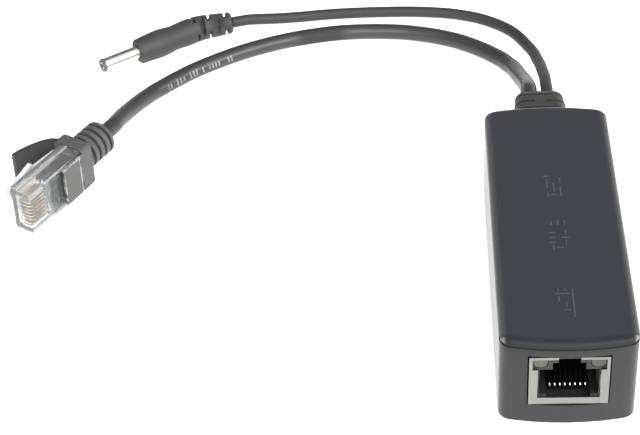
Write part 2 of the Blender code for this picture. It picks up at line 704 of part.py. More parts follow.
def package(name, size, x, y, per_side, pitch, lead_width, mat):
    """A moulded package with flat leads on both sides."""
    w, d, h = size
    base = board_top + SEAT
    body = make_object(name, rounded_box(size, base, x, y), mat)
    leads = [gull_wing(x, y + (i - (per_side - 1) / 2) * pitch, side, base + 0.45 * h, w / 2,
                       LEAD_REACH, lead_width)
             for side in (-1, 1) for i in range(per_side)]
    add(body, merge(*leads), name + "_leads")
    return body


def can(name, radius, height, x, y, mat):
    """An upright electrolytic capacitor with a rolled neck and two leads."""
    base = board_top + SEAT
    profile = [(0, base), (radius * 0.92, base), (radius, base + 0.4 * MM), (radius, base + 1.2 * MM),
               (radius * 0.94, base + 1.6 * MM), (radius, base + 2.0 * MM),
               (radius, base + height - 0.4 * MM), (radius * 0.92, base + height), (0, base + height)]
    body = make_object(name, lathe(profile, 20, x=x, y=y), mat, smooth=40)
    add(body, merge(*[lead(x, y + side * radius / 2, base + 0.5 * MM) for side in (-1, 1)]), name + "_leads")
    return body


def transformer(y, core_mat, coil_mat, bobbin_mat):
    """A closed core with its middle leg upright in a bobbin, and the coil wound on the bobbin."""
    base = board_top + SEAT
    half, leg = CORE_WIDTH / 2, CORE_LEG / 2
    window_out = half - leg
    top = base + CORE_HEIGHT
    low, high = base + CORE_YOKE, top - CORE_YOKE
    bm = box((-half, y - CORE_DEPTH / 2, base), (half, y + CORE_DEPTH / 2, top))
    core = make_object("transformer_core", bm, core_mat)
    windows = [box((min(side * leg, side * window_out), y - CORE_DEPTH, low),
                   (max(side * leg, side * window_out), y + CORE_DEPTH, high)) for side in (-1, 1)]
    cut(core, merge(*windows), "core_windows")
    flange_x = window_out - SLIP
    flange_y = CORE_DEPTH / 2 + BOBBIN_OVERHANG
    tube_x, tube_y = leg + SLIP + BOBBIN_WALL, CORE_DEPTH / 2 + SLIP + BOBBIN_WALL
    flange = (high - low - 2 * SLIP - COIL_HEIGHT - 2 * SLIP) / 2
    bobbin = make_object("transformer_bobbin", box((-flange_x, y - flange_y, low + SLIP),
                                                   (flange_x, y + flange_y, high - SLIP)), bobbin_mat)
    coil_low = low + SLIP + flange
    coil_high = high - SLIP - flange
    past_y = flange_y + THROUGH
    waste = merge(box((tube_x, y - past_y, coil_low), (half, y + past_y, coil_high)),
                  box((-half, y - past_y, coil_low), (-tube_x, y + past_y, coil_high)))
    cut(bobbin, waste, "bobbin_sides")
    ends = merge(box((-half, y + tube_y, coil_low), (half, y + past_y, coil_high)),
                 box((-half, y - past_y, coil_low), (half, y - tube_y, coil_high)))
    cut(bobbin, ends, "bobbin_ends")
    cut(bobbin, box((-leg - SLIP, y - CORE_DEPTH / 2 - SLIP, low - THROUGH),
                    (leg + SLIP, y + CORE_DEPTH / 2 + SLIP, high + THROUGH)), "bobbin_bore")
    rail_depth = BOBBIN_OVERHANG - SEAT
    rail_y = flange_y - rail_depth / 2
    rails = [box((-flange_x, y + side * rail_y - rail_depth / 2, base),
                 (flange_x, y + side * rail_y + rail_depth / 2, coil_low)) for side in (-1, 1)]
    add(bobbin, merge(*rails), "bobbin_rails")
    leads = [lead(i * flange_x / 2, y + side * rail_y, base + 0.5 * MM)
             for side in (-1, 1) for i in (-1.5, 0, 1.5)]
    add(bobbin, merge(*leads), "bobbin_leads")
    coil_out_x, coil_out_y = flange_x - SLIP, flange_y - 0.4 * MM
    coil = box((-coil_out_x, y - coil_out_y, coil_low + SLIP), (coil_out_x, y + coil_out_y, coil_high - SLIP))
    round_edges(coil, upright_edges(coil, lambda p: True), 1.2 * MM, 3)
    winding = make_object("transformer_winding", coil, coil_mat, smooth=40)
    cut(winding, box((-tube_x - SLIP, y - tube_y - SLIP, coil_low - THROUGH),
                     (tube_x + SLIP, y + tube_y + SLIP, coil_high + THROUGH)), "coil_bore")
    return core


def inductor(x, y, mat):
    base = board_top + SEAT
    body = make_object("output_inductor", rounded_box(INDUCTOR, base, x, y, 0.9 * MM, 2), mat, smooth=40)
    well = INDUCTOR[0] / 2 - 1.0 * MM
    ring = lathe([(well - 0.5 * MM, base + INDUCTOR[2] - 0.4 * MM), (well, base + INDUCTOR[2] - 0.4 * MM),
                   (well, base + INDUCTOR[2] + THROUGH), (well - 0.5 * MM, base + INDUCTOR[2] + THROUGH)],
                  20, x=x, y=y)
    cut(body, ring, "inductor_ring")
    return body


def electronics(mats):
    """Rows of parts from the jack to the lead entry, with what is left over shared between the rows."""
    bobbin_depth = CORE_DEPTH + 2 * BOBBIN_OVERHANG
    pair_depth = max(2 * INPUT_CAN_RADIUS, INDUCTOR[1])
    last_depth = max(2 * OUTPUT_CAN_RADIUS, CHIP[1])
    depths = [FILTER[1], BRIDGE[1], pair_depth, bobbin_depth, last_depth, DIODE[1]]
    start, stop = jack_back + SEAT, flange_front - SEAT
    gap = (stop - start - sum(depths)) / (len(depths) + 1)
    rows = []
    y = start
    for depth in depths:
        y += gap
        rows.append(y + depth / 2)
        y += depth
    package("network_transformer", FILTER, 0.0, rows[0], 6, 1.27 * MM, 0.5 * MM, mats["moulding"])
    bridge_x = BRIDGE[0] / 2 + LEAD_REACH + BESIDE_GAP / 2
    for number, side in ((1, -1), (2, 1)):
        package("bridge_rectifier_%d" % number, BRIDGE, side * bridge_x, rows[1], 2, 2.5 * MM, 0.7 * MM,
                mats["moulding"])
    pair = 2 * INPUT_CAN_RADIUS + INDUCTOR[0] + BESIDE_GAP
    can("input_capacitor", INPUT_CAN_RADIUS, INPUT_CAN_HEIGHT, -pair / 2 + INPUT_CAN_RADIUS, rows[2],
        mats["sleeve"])
    inductor(pair / 2 - INDUCTOR[0] / 2, rows[2], mats["ferrite"])
    transformer(rows[3], mats["ferrite"], mats["tape"], mats["moulding"])
    last = 2 * OUTPUT_CAN_RADIUS + CHIP[0] + 2 * LEAD_REACH + BESIDE_GAP
    can("output_capacitor", OUTPUT_CAN_RADIUS, OUTPUT_CAN_HEIGHT, -last / 2 + OUTPUT_CAN_RADIUS, rows[4],
        mats["sleeve"])
    package("controller_chip", CHIP, last / 2 - LEAD_REACH - CHIP[0] / 2, rows[4], 4, 1.0 * MM, 0.4 * MM,
            mats["moulding"])
    package("output_diode", DIODE, 0.0, rows[5], 1, 1.0 * MM, 2.0 * MM, mats["moulding"])


def circuit_board(mat):
    front = -end_y(board_half_width, WALL) + BOARD_MARGIN
    bm = box((-board_half_width, front, board_bottom), (board_half_width, flange_front - SEAT, board_top))
    board = make_object("circuit_board", bm, mat)
    holes = [prism(circle(PIN_RADIUS + SEAT, 12, x, y), board_bottom - THROUGH, board_top + THROUGH)
             for x, y in board_posts()]
    holes += [prism(circle(radius, 8, x, y), board_bottom - THROUGH, board_top + THROUGH)
              for x, y, radius in lead_holes]
    cut(board, merge(*holes), "board_holes")
    return board


def jack_holes():
    for number in range(CONTACTS):
        lead_holes.append((contact_x(number), jack_front + pin_y(number), PIN_HOLE_RADIUS))


# Strain relief and leads

def strain_relief(mat, parent):
    """One moulding round both leads: inner flange, neck in the wall, collar and a slotted flexible tail."""
    steps = 28
    body_start = RELIEF_COLLAR
    sections = [(flange_front - relief_start, RELIEF_WIDTH, RELIEF_DEPTH),
                (flange_back - relief_start, RELIEF_WIDTH, RELIEF_DEPTH),
                (flange_back - relief_start, NECK_WIDTH, NECK_DEPTH), (0.0, NECK_WIDTH, NECK_DEPTH),
                (0.0, RELIEF_WIDTH - 0.6 * MM, RELIEF_DEPTH - 0.6 * MM),
                (0.3 * MM, RELIEF_WIDTH, RELIEF_DEPTH),
                (body_start, RELIEF_WIDTH, RELIEF_DEPTH),
                (RELIEF_LENGTH - 0.8 * MM, RELIEF_END_WIDTH + 0.3 * MM, RELIEF_END_DEPTH + 0.2 * MM),
                (RELIEF_LENGTH, RELIEF_END_WIDTH - 1.0 * MM, RELIEF_END_DEPTH - 1.0 * MM)]
    relief = make_object("strain_relief", loft(sections, steps, RELIEF_CORNER), mat, parent, smooth=35)
    count = int((RELIEF_LENGTH - body_start - SLOT_FROM_END - SLOT_WIDTH) / SLOT_PITCH) + 1
    for i in range(count):
        x = RELIEF_LENGTH - SLOT_FROM_END - i * SLOT_PITCH
        share = (x - body_start) / (RELIEF_LENGTH - body_start)
        width = RELIEF_WIDTH + (RELIEF_END_WIDTH - RELIEF_WIDTH) * share - 2 * SLOT_DEPTH
        height = RELIEF_DEPTH + (RELIEF_END_DEPTH - RELIEF_DEPTH) * share - 2 * SLOT_DEPTH
        slots = flex_slots(x, SLOT_WIDTH, width, height, RELIEF_WIDTH, SLOT_BRIDGE, i % 2 == 0)
        cut(relief, slots, "relief_slot_%d" % (i + 1))
    return relief


def smooth_route(points, step):
    """Points at even steps along a smooth curve through the route's own points, between its straight ends."""
    fine = []
    for a, b, c, d in zip(points, points[1:], points[2:], points[3:]):
        for i in range(12):
            t = i / 12
            fine.append(0.5 * (2 * b + (c - a) * t + (2 * a - 5 * b + 4 * c - d) * t * t
                               + (3 * b - a - 3 * c + d) * t ** 3))
    fine.append(points[-2])
    length = sum((q - p).length for p, q in zip(fine, fine[1:]))
    count = max(4, ceil(length / step))
    picked, done = [points[0]], 0.0
    for p, q in zip(fine, fine[1:]):
        run = (q - p).length
        while len(picked) <= count and length * (len(picked) - 1) / count <= done + run:
            picked.append(p + (q - p) * ((length * (len(picked) - 1) / count - done) / run))
        done += run
    return picked + [points[-2], points[-1]]


def cable(name, route, radius, step, resolution, mat):
    points = smooth_route(route, step)
    data = bpy.data.curves.new(name, "CURVE")
    data.dimensions = "3D"
    data.bevel_depth = radius
    data.bevel_resolution = resolution
    data.use_fill_caps = True
    spline = data.splines.new("POLY")
    spline.points.add(len(points) - 1)
    for target, point in zip(spline.points, points):
        target.co = (*point, 1.0)
    data.materials.append(mat)
    thing = bpy.data.objects.new(name, data)
    bpy.context.collection.objects.link(thing)
    return thing


# Network plug, drawn from the front corner on its contact side: X towards the lead, Y towards the latch

def blade_z(number):
    return PLUG_WIDTH / 2 + contact_x(number)


def latch_outline():
    """Side view of the latch: a root at the nose and a lever that leans away from the plug."""
    top = PLUG_THICKNESS
    path = [(LATCH_ROOT / 2, top - 0.6 * MM), (LATCH_ROOT / 2, top + LATCH_START_HEIGHT - 0.6 * MM),
            (LATCH_ROOT, top + LATCH_START_HEIGHT), (LATCH_SHOULDER, top + LATCH_SHOULDER_HEIGHT)]
    return path


def plug_housing(mat, parent):
    bm = box((0, 0, 0), (PLUG_LENGTH, PLUG_THICKNESS, PLUG_WIDTH))
    nose = [e for e in bm.edges if all(v.co.x < 0.01 * MM for v in e.verts)]
    round_edges(bm, nose, PLUG_NOSE, 2)
    housing = make_object("plug_housing", bm, mat, parent, smooth=35)
    middle = PLUG_WIDTH / 2
    wide = prism(ribbon(latch_outline(), LATCH_LEVER),
                 middle - LATCH_ROOT_WIDTH / 2, middle + LATCH_ROOT_WIDTH / 2)
    add(housing, wide, "latch_root")
    top = PLUG_THICKNESS
    path = [(LATCH_SHOULDER - 1.5 * MM, top + LATCH_SHOULDER_HEIGHT - 0.25 * MM),
            (LATCH_SHOULDER, top + LATCH_SHOULDER_HEIGHT), (LATCH_END, top + LATCH_END_HEIGHT)]
    narrow = prism(ribbon(path, LATCH_LEVER * 0.9),
                   middle - LATCH_LEVER_WIDTH / 2, middle + LATCH_LEVER_WIDTH / 2)
    add(housing, narrow, "latch_lever")
    slot_half = BLADE_THICKNESS / 2 + SLIP
    slots = [box((-THROUGH, -THROUGH, blade_z(i) - slot_half),
                 (BLADE_SET_BACK + BLADE_LENGTH + SEAT, BLADE_INSET + BLADE_HEIGHT + SLIP,
                  blade_z(i) + slot_half))
             for i in range(CONTACTS)]
    cut(housing, merge(*slots), "blade_slots")
    wires_half = (CONTACTS - 1) / 2 * CONTACT_PITCH + WIRE_RADIUS + SLIP
    cut(housing, box((WIRE_START - SLIP, BLADE_INSET + BLADE_HEIGHT, middle - wires_half),
                     (WIRE_CHAMBER + SEAT, WIRE_DEPTH + WIRE_RADIUS + SLIP, middle + wires_half)),
        "wire_chamber")
    cut(housing, box((WIRE_CHAMBER, PLUG_WALL, PLUG_SIDE_WALL),
                     (PLUG_LENGTH + THROUGH, PLUG_THICKNESS - PLUG_WALL, PLUG_WIDTH - PLUG_SIDE_WALL)),
        "rear_cavity")
    cut(housing, box((WINDOW_START, -THROUGH, PLUG_SIDE_WALL + SEAT),
                     (WINDOW_START + WINDOW_LENGTH, PLUG_WALL * 0.5, PLUG_WIDTH - PLUG_SIDE_WALL - SEAT)),
        "crimp_pocket")
    return housing


def plug_contact(number, mat, parent):
    """A flat blade with a round front corner and three teeth that bite into its wire."""
    start, stop = BLADE_SET_BACK, BLADE_SET_BACK + BLADE_LENGTH
    low, high = BLADE_INSET, BLADE_INSET + BLADE_HEIGHT
    corner = arc_points((start + 0.6 * MM, low + 0.6 * MM), 0.6 * MM, 180, 270, 3)
    tooth = BLADE_LENGTH / 3
    teeth = []
    for i in range(3):
        teeth += [(stop - i * tooth - 0.1 * MM, high), (stop - (i + 0.5) * tooth, high + TOOTH_HEIGHT)]
    outline = corner + [(stop, low)] + teeth + [(start, high)]
    z = blade_z(number)
    bm = prism(outline, z - BLADE_THICKNESS / 2, z + BLADE_THICKNESS / 2)
    return make_object("plug_contact_%d" % (number + 1), bm, mat, parent)


def plug_wire(number, mat, parent):
    outline = circle(WIRE_RADIUS, 10, WIRE_DEPTH, blade_z(number), pi / 10)
    bm = prism(outline, WIRE_START, WIRE_CHAMBER - SEAT / 2, "X")
    return make_object("plug_wire_%d" % (number + 1), bm, mat, parent, smooth=50)


def hood_outline():
    """Side view of the hood: a curved plate from the boot's back, out and forward over the latch."""
    back = BOOT_RIM + BOOT_LENGTH - 0.5 * MM
    foot = BOOT_HEIGHT - BOOT_SKIN
    return [(back, foot - 1.2 * MM), (back - 0.3 * MM, foot + 0.4 * MM),
            (back - 0.14 * HOOD_REACH, foot + 0.42 * HOOD_RISE),
            (back - 0.30 * HOOD_REACH, foot + 0.62 * HOOD_RISE),
            (back - 0.53 * HOOD_REACH, foot + 0.80 * HOOD_RISE),
            (back - 0.77 * HOOD_REACH, foot + 0.94 * HOOD_RISE), (back - HOOD_REACH, foot + HOOD_RISE)]


def tail(y, z):
    """The round end of the boot, with rings so that it flexes."""
    start = BOOT_RIM + BOOT_LENGTH
    end = start + TAIL_LENGTH
    groove_radius = TAIL_RADIUS - TAIL_GROOVE_DEPTH
    profile = [(0.0, start - BOOT_ROUND), (TAIL_RADIUS, start - BOOT_ROUND)]
    for i in range(TAIL_GROOVES):
        near = start + TAIL_GROOVE_START + i * TAIL_GROOVE_PITCH
        far = near + TAIL_GROOVE_WIDTH
        profile += [(TAIL_RADIUS, near), (groove_radius, near), (groove_radius, far), (TAIL_RADIUS, far)]
    profile += [(TAIL_RADIUS, end - TAIL_END_ROUND), (TAIL_RADIUS - TAIL_END_ROUND, end), (0.0, end)]
    return lathe(profile, 24, "X", 0.0, y, z)


def plug_boot(mat, parent):
    """One moulding: a core inside the plug, a collar, a sleeve along it, a ringed tail and a hood."""
    low_y, high_y = -BOOT_SKIN, BOOT_HEIGHT - BOOT_SKIN
    middle = PLUG_WIDTH / 2
    bm = box((BOOT_RIM, low_y, 0.0), (BOOT_RIM + BOOT_LENGTH, high_y, PLUG_WIDTH + BOOT_SIDE))
    outer = [edge for edge in bm.edges if any(v.co.x > BOOT_RIM + 0.1 * MM for v in edge.verts)]
    round_edges(bm, outer, BOOT_ROUND, 3)
    boot = make_object("plug_boot", bm, mat, parent, smooth=35)
    cut(boot, box((BOOT_RIM - THROUGH, -SEAT, -THROUGH),
                  (PLUG_LENGTH + SEAT, PLUG_THICKNESS + SEAT, PLUG_WIDTH + 0.1 * MM)),
        "plug_seat")
    lever_half = LATCH_LEVER_WIDTH / 2 + 0.6 * MM
    cut(boot, box((BOOT_RIM - THROUGH, PLUG_THICKNESS, middle - lever_half),
                  (PLUG_LENGTH + SEAT, high_y + THROUGH, middle + lever_half)), "lever_slot")
    core_side = PLUG_SIDE_WALL + SEAT
    core_start, core_end = WIRE_CHAMBER + SEAT + SLIP, PLUG_LENGTH + 1.0 * MM
    core = [(core_start, core_side + CORE_INSET), (WINDOW_START, core_side + CORE_INSET),
            (WINDOW_START, core_side), (core_end, core_side),
            (core_end, PLUG_WIDTH - core_side), (core_start, PLUG_WIDTH - core_side)]
    add(boot, prism(core, PLUG_WALL + SEAT, PLUG_THICKNESS - PLUG_WALL - SEAT, "Y"), "boot_core")
    add(boot, box((SLEEVE_START, low_y, SLEEVE_EDGE),
                  (BOOT_RIM + BOOT_ROUND, -SEAT, PLUG_WIDTH - SLEEVE_EDGE)), "sleeve")
    cut(boot, box((GROOVE_START, low_y - THROUGH, -THROUGH),
                  (GROOVE_START + GROOVE_WIDTH, low_y + GROOVE_DEPTH, PLUG_WIDTH + THROUGH)), "sleeve_groove")
    add(boot, tail(TAIL_CENTRE, middle), "tail")
    hood = prism(ribbon(hood_outline(), HOOD_THICKNESS), middle - HOOD_WIDTH / 2, middle + HOOD_WIDTH / 2)
    add(boot, hood, "hood")
    return boot


# Barrel plug, drawn from its tip: X towards the lead

def power_plug(mats, parent):
    ring = 24
    tube_in = BARREL_RADIUS - BARREL_WALL
    seat = BARREL_LENGTH + BARREL_SEAT
    contact_out = CONTACT_BORE + CONTACT_WALL
    barrel_start = TIP_LENGTH + 0.05 * MM
    barrel = lathe([(tube_in, barrel_start), (BARREL_RADIUS, barrel_start), (BARREL_RADIUS, seat),
                    (tube_in, seat)], ring, "X")
    make_object("power_plug_barrel", barrel, mats["nickel"], parent, smooth=40)
    sleeve_out, sleeve_in = tube_in - 0.1 * MM, contact_out + 0.1 * MM
    insulator = lathe([(sleeve_in, 0.0), (BARREL_RADIUS - 0.15 * MM, 0.0), (BARREL_RADIUS, 0.15 * MM),
                       (BARREL_RADIUS, TIP_LENGTH), (sleeve_out, TIP_LENGTH),
                       (sleeve_out, seat), (sleeve_in, seat)], ring, "X")
    make_object("power_plug_insulator", insulator, mats["moulding"], parent, smooth=40)
    contact = lathe([(CONTACT_BORE, 0.1 * MM), (contact_out, 0.1 * MM), (contact_out, seat),
                     (CONTACT_BORE, seat)], 16, "X")
    make_object("power_plug_contact", contact, mats["nickel"], parent, smooth=40)
    front, grip, end = BARREL_LENGTH, BARREL_LENGTH + HANDLE_GRIP, BARREL_LENGTH + HANDLE_LENGTH
    waist = HANDLE_RADIUS - HANDLE_WAIST
    shoulder = HANDLE_RADIUS - HANDLE_WAIST / 2
    profile = [(0.0, seat + SLIP), (BARREL_RADIUS + 0.1 * MM, seat + SLIP), (BARREL_RADIUS + 0.1 * MM, front),
               (HANDLE_FRONT_RADIUS - 0.45 * MM, front), (HANDLE_FRONT_RADIUS, front + 0.45 * MM),
               (HANDLE_RADIUS - 0.08 * MM, front + 0.28 * HANDLE_GRIP),
               (HANDLE_RADIUS, front + 0.4 * HANDLE_GRIP),
               (HANDLE_RADIUS - 0.1 * MM, front + 0.5 * HANDLE_GRIP), (waist, front + 0.64 * HANDLE_GRIP),
               (shoulder, front + 0.85 * HANDLE_GRIP)]
    stations = [grip + HANDLE_BEND_LENGTH * i / 3 for i in range(4)]
    for x in stations:
        profile.append((shoulder + (HANDLE_END_RADIUS - shoulder) * (x - grip) / (end - grip), x))
    profile += [(HANDLE_END_RADIUS, end - 0.5 * MM), (HANDLE_END_RADIUS - 0.5 * MM, end), (0.0, end)]
    bm = bent(lathe(profile, ring, "X"), grip, HANDLE_BEND_LENGTH, HANDLE_BEND)
    handle = make_object("power_plug_handle", bm, mats["jacket"], parent, smooth=35)
    for i in range(HANDLE_SLOTS):
        x = grip + SLOT_WIDTH / 2 + 0.1 * MM + i * HANDLE_SLOT_PITCH
        share = (x - grip) / (end - grip)
        core = 2 * (shoulder + (HANDLE_END_RADIUS - shoulder) * share - HANDLE_SLOT_DEPTH)
        slots = flex_slots(x, SLOT_WIDTH, core, core, 1.5 * HANDLE_RADIUS, HANDLE_BRIDGE, i % 2 == 1)
        slots = bent(rolled(slots, HANDLE_ROLL), grip, HANDLE_BEND_LENGTH, HANDLE_BEND)
        cut(handle, slots, "handle_slot_%d" % (i + 1))


def network_route():
    """From the strain relief to the tail of the boot, with a short straight run at each end."""
    start = Vector((NETWORK_EXIT_X, relief_end + SEAT, RELIEF_HEIGHT))
    boot_end = BOOT_RIM + BOOT_LENGTH + TAIL_LENGTH + SEAT
    ends = [in_world(Vector((x, TAIL_CENTRE, PLUG_WIDTH / 2)), PLUG_X, PLUG_Y, PLUG_Z, PLUG_TURN, PLUG_LEAN)
            for x in (boot_end + LEAD_STRAIGHT, boot_end)]
    return [start, start + Vector((0.0, LEAD_STRAIGHT, 0.0))] + [Vector(p) for p in NETWORK_ROUTE] + ends


def power_route():
    """From the strain relief to the end of the barrel plug, with a short straight run at each end."""
    start = Vector((POWER_EXIT_X, relief_end + SEAT, RELIEF_HEIGHT))
    grip, handle_end = BARREL_LENGTH + HANDLE_GRIP, BARREL_LENGTH + HANDLE_LENGTH + SEAT
    ends = [in_world(bent_point(Vector((x, 0.0, 0.0)), grip, HANDLE_BEND_LENGTH, HANDLE_BEND),
                     POWER_PLUG_X, POWER_PLUG_Y, HANDLE_RADIUS, POWER_PLUG_TURN)
            for x in (handle_end + LEAD_STRAIGHT, handle_end)]
    return [start, start + Vector((0.0, LEAD_STRAIGHT, 0.0))] + [Vector(p) for p in POWER_ROUTE] + ends


def build():
    clear_scene()
    mats = {
        "case": material("case plastic", (0.066, 0.069, 0.074), 0.62),
        "steel": material("plated steel", (0.62, 0.61, 0.56), 0.38, 0.9),
        "black": material("black plastic", (0.012, 0.012, 0.013), 0.5),
        "gold": material("gold plate", (0.83, 0.62, 0.25), 0.25, 1.0),
        "nickel": material("nickel plate", (0.75, 0.74, 0.70), 0.2, 1.0),
        "lamp_left": material("olive lens", (0.36, 0.36, 0.22), 0.35),
        "lamp_right": material("green lens", (0.24, 0.28, 0.25), 0.35),
        "board": material("board green", (0.02, 0.12, 0.05), 0.5),
        "moulding": material("package black", (0.02, 0.02, 0.022), 0.55),
        "ferrite": material("ferrite", (0.05, 0.05, 0.055), 0.7),
        "tape": material("winding tape", (0.55, 0.42, 0.06), 0.45),
        "sleeve": material("can sleeve", (0.03, 0.04, 0.09), 0.4),
        "jacket": material("soft grey plastic", (0.07, 0.07, 0.072), 0.5),
        "clear": material("clear plastic", (0.9, 0.92, 0.92), 0.08, 0.0, 0.35),
        "wire": material("wire insulation", (0.72, 0.68, 0.5), 0.4)}
    base_shell(mats["case"])
    top_cover(mats["case"])
    jack = frame("jack_frame", (0.0, jack_front, jack_bottom))
    jack_shield(mats["steel"], jack)
    jack_body(mats["black"], jack)
    for number in range(CONTACTS):
        jack_contact(number, mats["gold"], jack)
    lamp_lens(-1, mats["lamp_left"], jack)
    lamp_lens(1, mats["lamp_right"], jack)
    jack_holes()
    electronics(mats)
    circuit_board(mats["board"])
    relief = frame("relief_frame", (0.0, relief_start, RELIEF_HEIGHT), 90.0)
    strain_relief(mats["jacket"], relief)
    cable("network_cable", network_route(), NETWORK_CABLE_RADIUS, NETWORK_ROUTE_STEP, 2, mats["jacket"])
    cable("power_cable", power_route(), POWER_CABLE_RADIUS, POWER_ROUTE_STEP, 2, mats["jacket"])
    plug = frame("plug_frame", (PLUG_X, PLUG_Y, PLUG_Z), PLUG_TURN, PLUG_LEAN)
    plug_housing(mats["clear"], plug)
    plug_boot(mats["jacket"], plug)
    for number in range(CONTACTS):
        plug_contact(number, mats["gold"], plug)
        plug_wire(number, mats["wire"], plug)
    power = frame("power_plug_frame", (POWER_PLUG_X, POWER_PLUG_Y, HANDLE_RADIUS), POWER_PLUG_TURN)
    power_plug(mats, power)


build()
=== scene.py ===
# %% [markdown]
# A small power splitter, dressed for its picture.
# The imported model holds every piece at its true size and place. This script only adds looks: smoother
# meshes, finishes, the two leads, the floor, the light and the camera.
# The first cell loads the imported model. Every later cell hangs its pieces on it, so nothing drifts from the
# real sizes. The model is in metres, and the value mm turns a size in millimetres into metres.

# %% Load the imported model
from math import pi, radians

import bmesh
import bpy
from mathutils import Matrix, Vector


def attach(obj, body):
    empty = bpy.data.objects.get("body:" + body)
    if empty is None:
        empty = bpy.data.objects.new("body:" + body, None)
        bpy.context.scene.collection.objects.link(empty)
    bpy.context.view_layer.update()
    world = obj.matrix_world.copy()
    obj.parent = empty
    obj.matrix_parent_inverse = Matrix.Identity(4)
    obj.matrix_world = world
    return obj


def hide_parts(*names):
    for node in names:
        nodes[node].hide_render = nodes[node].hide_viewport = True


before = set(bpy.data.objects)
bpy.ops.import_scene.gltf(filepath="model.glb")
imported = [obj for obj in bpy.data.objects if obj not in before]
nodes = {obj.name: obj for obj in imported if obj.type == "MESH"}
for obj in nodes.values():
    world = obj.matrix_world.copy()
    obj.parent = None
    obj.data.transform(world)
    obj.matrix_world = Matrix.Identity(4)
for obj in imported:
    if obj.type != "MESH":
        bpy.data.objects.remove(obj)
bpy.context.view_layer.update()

body = "root"
mm = 0.001
print("packed pieces:", len(nodes))

# %% [markdown]
# The picture is taken from in front of the jack, a little to the left, looking down at about forty degrees.
# A camera could be set by eye, but along a straight box the smallest error shows. So its place, its turn
# and its lens were worked out from where the corners of the box and of the jack's frame lie in the
# photograph. Its rotation is built from three plain turns: a roll about the view, a tilt up from straight
# down, and a turn about Z.

# %% Camera
def linked(name, data):
    """A new object of the scene that shows the given data."""
    thing = bpy.data.objects.new(name, data)
    bpy.context.scene.collection.objects.link(thing)
    return thing


camera_place = (-0.0281, -0.2877, 0.2595)
camera_turn, camera_height_angle, camera_roll = radians(4.45), radians(39.36), radians(-3.96)
camera_data = bpy.data.cameras.new("camera")
camera_data.sensor_width = 36.0
camera_data.lens = 97.85
camera_data.clip_start = 0.01
camera = linked("camera", camera_data)
camera.matrix_world = (Matrix.Translation(camera_place)
                       @ Matrix.Rotation(camera_turn, 4, "Z")
                       @ Matrix.Rotation(pi / 2 - camera_height_angle, 4, "X")
                       @ Matrix.Rotation(camera_roll, 4, "Z"))
bpy.context.scene.camera = camera
print("camera lens:", camera_data.lens, "mm")

# %% [markdown]
# The object lies on white paper. One wide flat sheet is enough for it, because the camera never sees its
# edge. Strong lamps could make the paper white, but they would wash out the dark plastic. So the paper also
# glows by itself. It lies a hair below zero, so that it never shares a surface with the box or the leads.

# %% Floor
def mesh_object(name, bm):
    """A new object from a bmesh, which is used up."""
    data = bpy.data.meshes.new(name)
    bm.to_mesh(data)
    bm.free()
    return linked(name, data)


paper_half_size, paper_drop, paper_glow = 3.0, 0.05 * mm, 0.66
sheet = bmesh.new()
bmesh.ops.create_grid(sheet, x_segments=1, y_segments=1, size=paper_half_size)
bmesh.ops.translate(sheet, verts=sheet.verts, vec=(0, 0, -paper_drop))
floor = mesh_object("studio_floor", sheet)
paper = bpy.data.materials.new("white_paper")
paper.use_nodes = True
paper_shader = paper.node_tree.nodes["Principled BSDF"]
paper_shader.inputs["Base Color"].default_value = (0.80, 0.80, 0.80, 1.0)
paper_shader.inputs["Roughness"].default_value = 0.9
paper_shader.inputs["Specular IOR Level"].default_value = 0.1
paper_shader.inputs["Emission Color"].default_value = (1.0, 1.0, 0.99, 1.0)
paper_shader.inputs["Emission Strength"].default_value = paper_glow
floor.data.materials.append(paper)
print("paper of", 2 * paper_half_size, "m")

# %% [markdown]
# Round a studio table it is bright near the paper and dim above. An even surround would lift the lid, which
# faces up, as much as the sides. So the brightness of the world falls with the height of the direction in
# which a ray leaves.

# %% Surroundings
world = bpy.data.worlds.new("studio")
bpy.context.scene.world = world
world.use_nodes = True
sky = world.node_tree.nodes["Background"]
sky.inputs["Color"].default_value = (0.96, 0.98, 1.0, 1.0)
direction = world.node_tree.nodes.new("ShaderNodeTexCoord")
heights = world.node_tree.nodes.new("ShaderNodeSeparateXYZ")
fade = world.node_tree.nodes.new("ShaderNodeMapRange")
fade.interpolation_type = "SMOOTHSTEP"
light_at_horizon, light_above, height_above = 0.9, 0.12, 0.6
for label, value in (("From Min", 0.0), ("From Max", height_above), ("To Min", light_at_horizon),
                     ("To Max", light_above)):
    fade.inputs[label].default_value = value
world.node_tree.links.new(direction.outputs["Generated"], heights.inputs[0])
world.node_tree.links.new(heights.outputs["Z"], fade.inputs["Value"])
world.node_tree.links.new(fade.outputs["Result"], sky.inputs["Strength"])

view = bpy.context.scene.view_settings
view.view_transform = "Standard"
view.look = "None"
view.exposure = 0.0
view.gamma = 1.0
print("surroundings fade from", light_at_horizon, "to", light_above)

# %% [markdown]
# Three big soft lamps stand in a row, from behind the camera to its far right, and a weaker one hangs
# overhead. They put one wide highlight along the middle of each round lead, and their shadows fall behind
# the object and to its left. Area lamps would need a distance and a size. A sun lamp with a wide angle
# gives the same soft light at any distance, so one line of numbers describes each lamp.

# %% Softboxes
def soft_light(name, turn, height_angle, spread, strength):
    """Angles are in degrees. Turn is measured from straight behind the camera, to the right."""
    data = bpy.data.lights.new(name, "SUN")
    data.energy = strength
    data.angle = radians(spread)
    lamp = linked(name, data)
    lamp.matrix_world = (Matrix.Rotation(radians(turn), 4, "Z")
                         @ Matrix.Rotation(radians(90 - height_angle), 4, "X"))
    return lamp


lamps = [soft_light("softbox_behind_camera", -3.0, 39.0, 42.0, 1.9),
         soft_light("softbox_right", 40.0, 34.0, 42.0, 2.1),
         soft_light("softbox_far_right", 72.0, 32.0, 44.0, 1.3),
         soft_light("softbox_overhead", 20.0, 78.0, 60.0, 0.7)]
print("softboxes:", len(lamps))

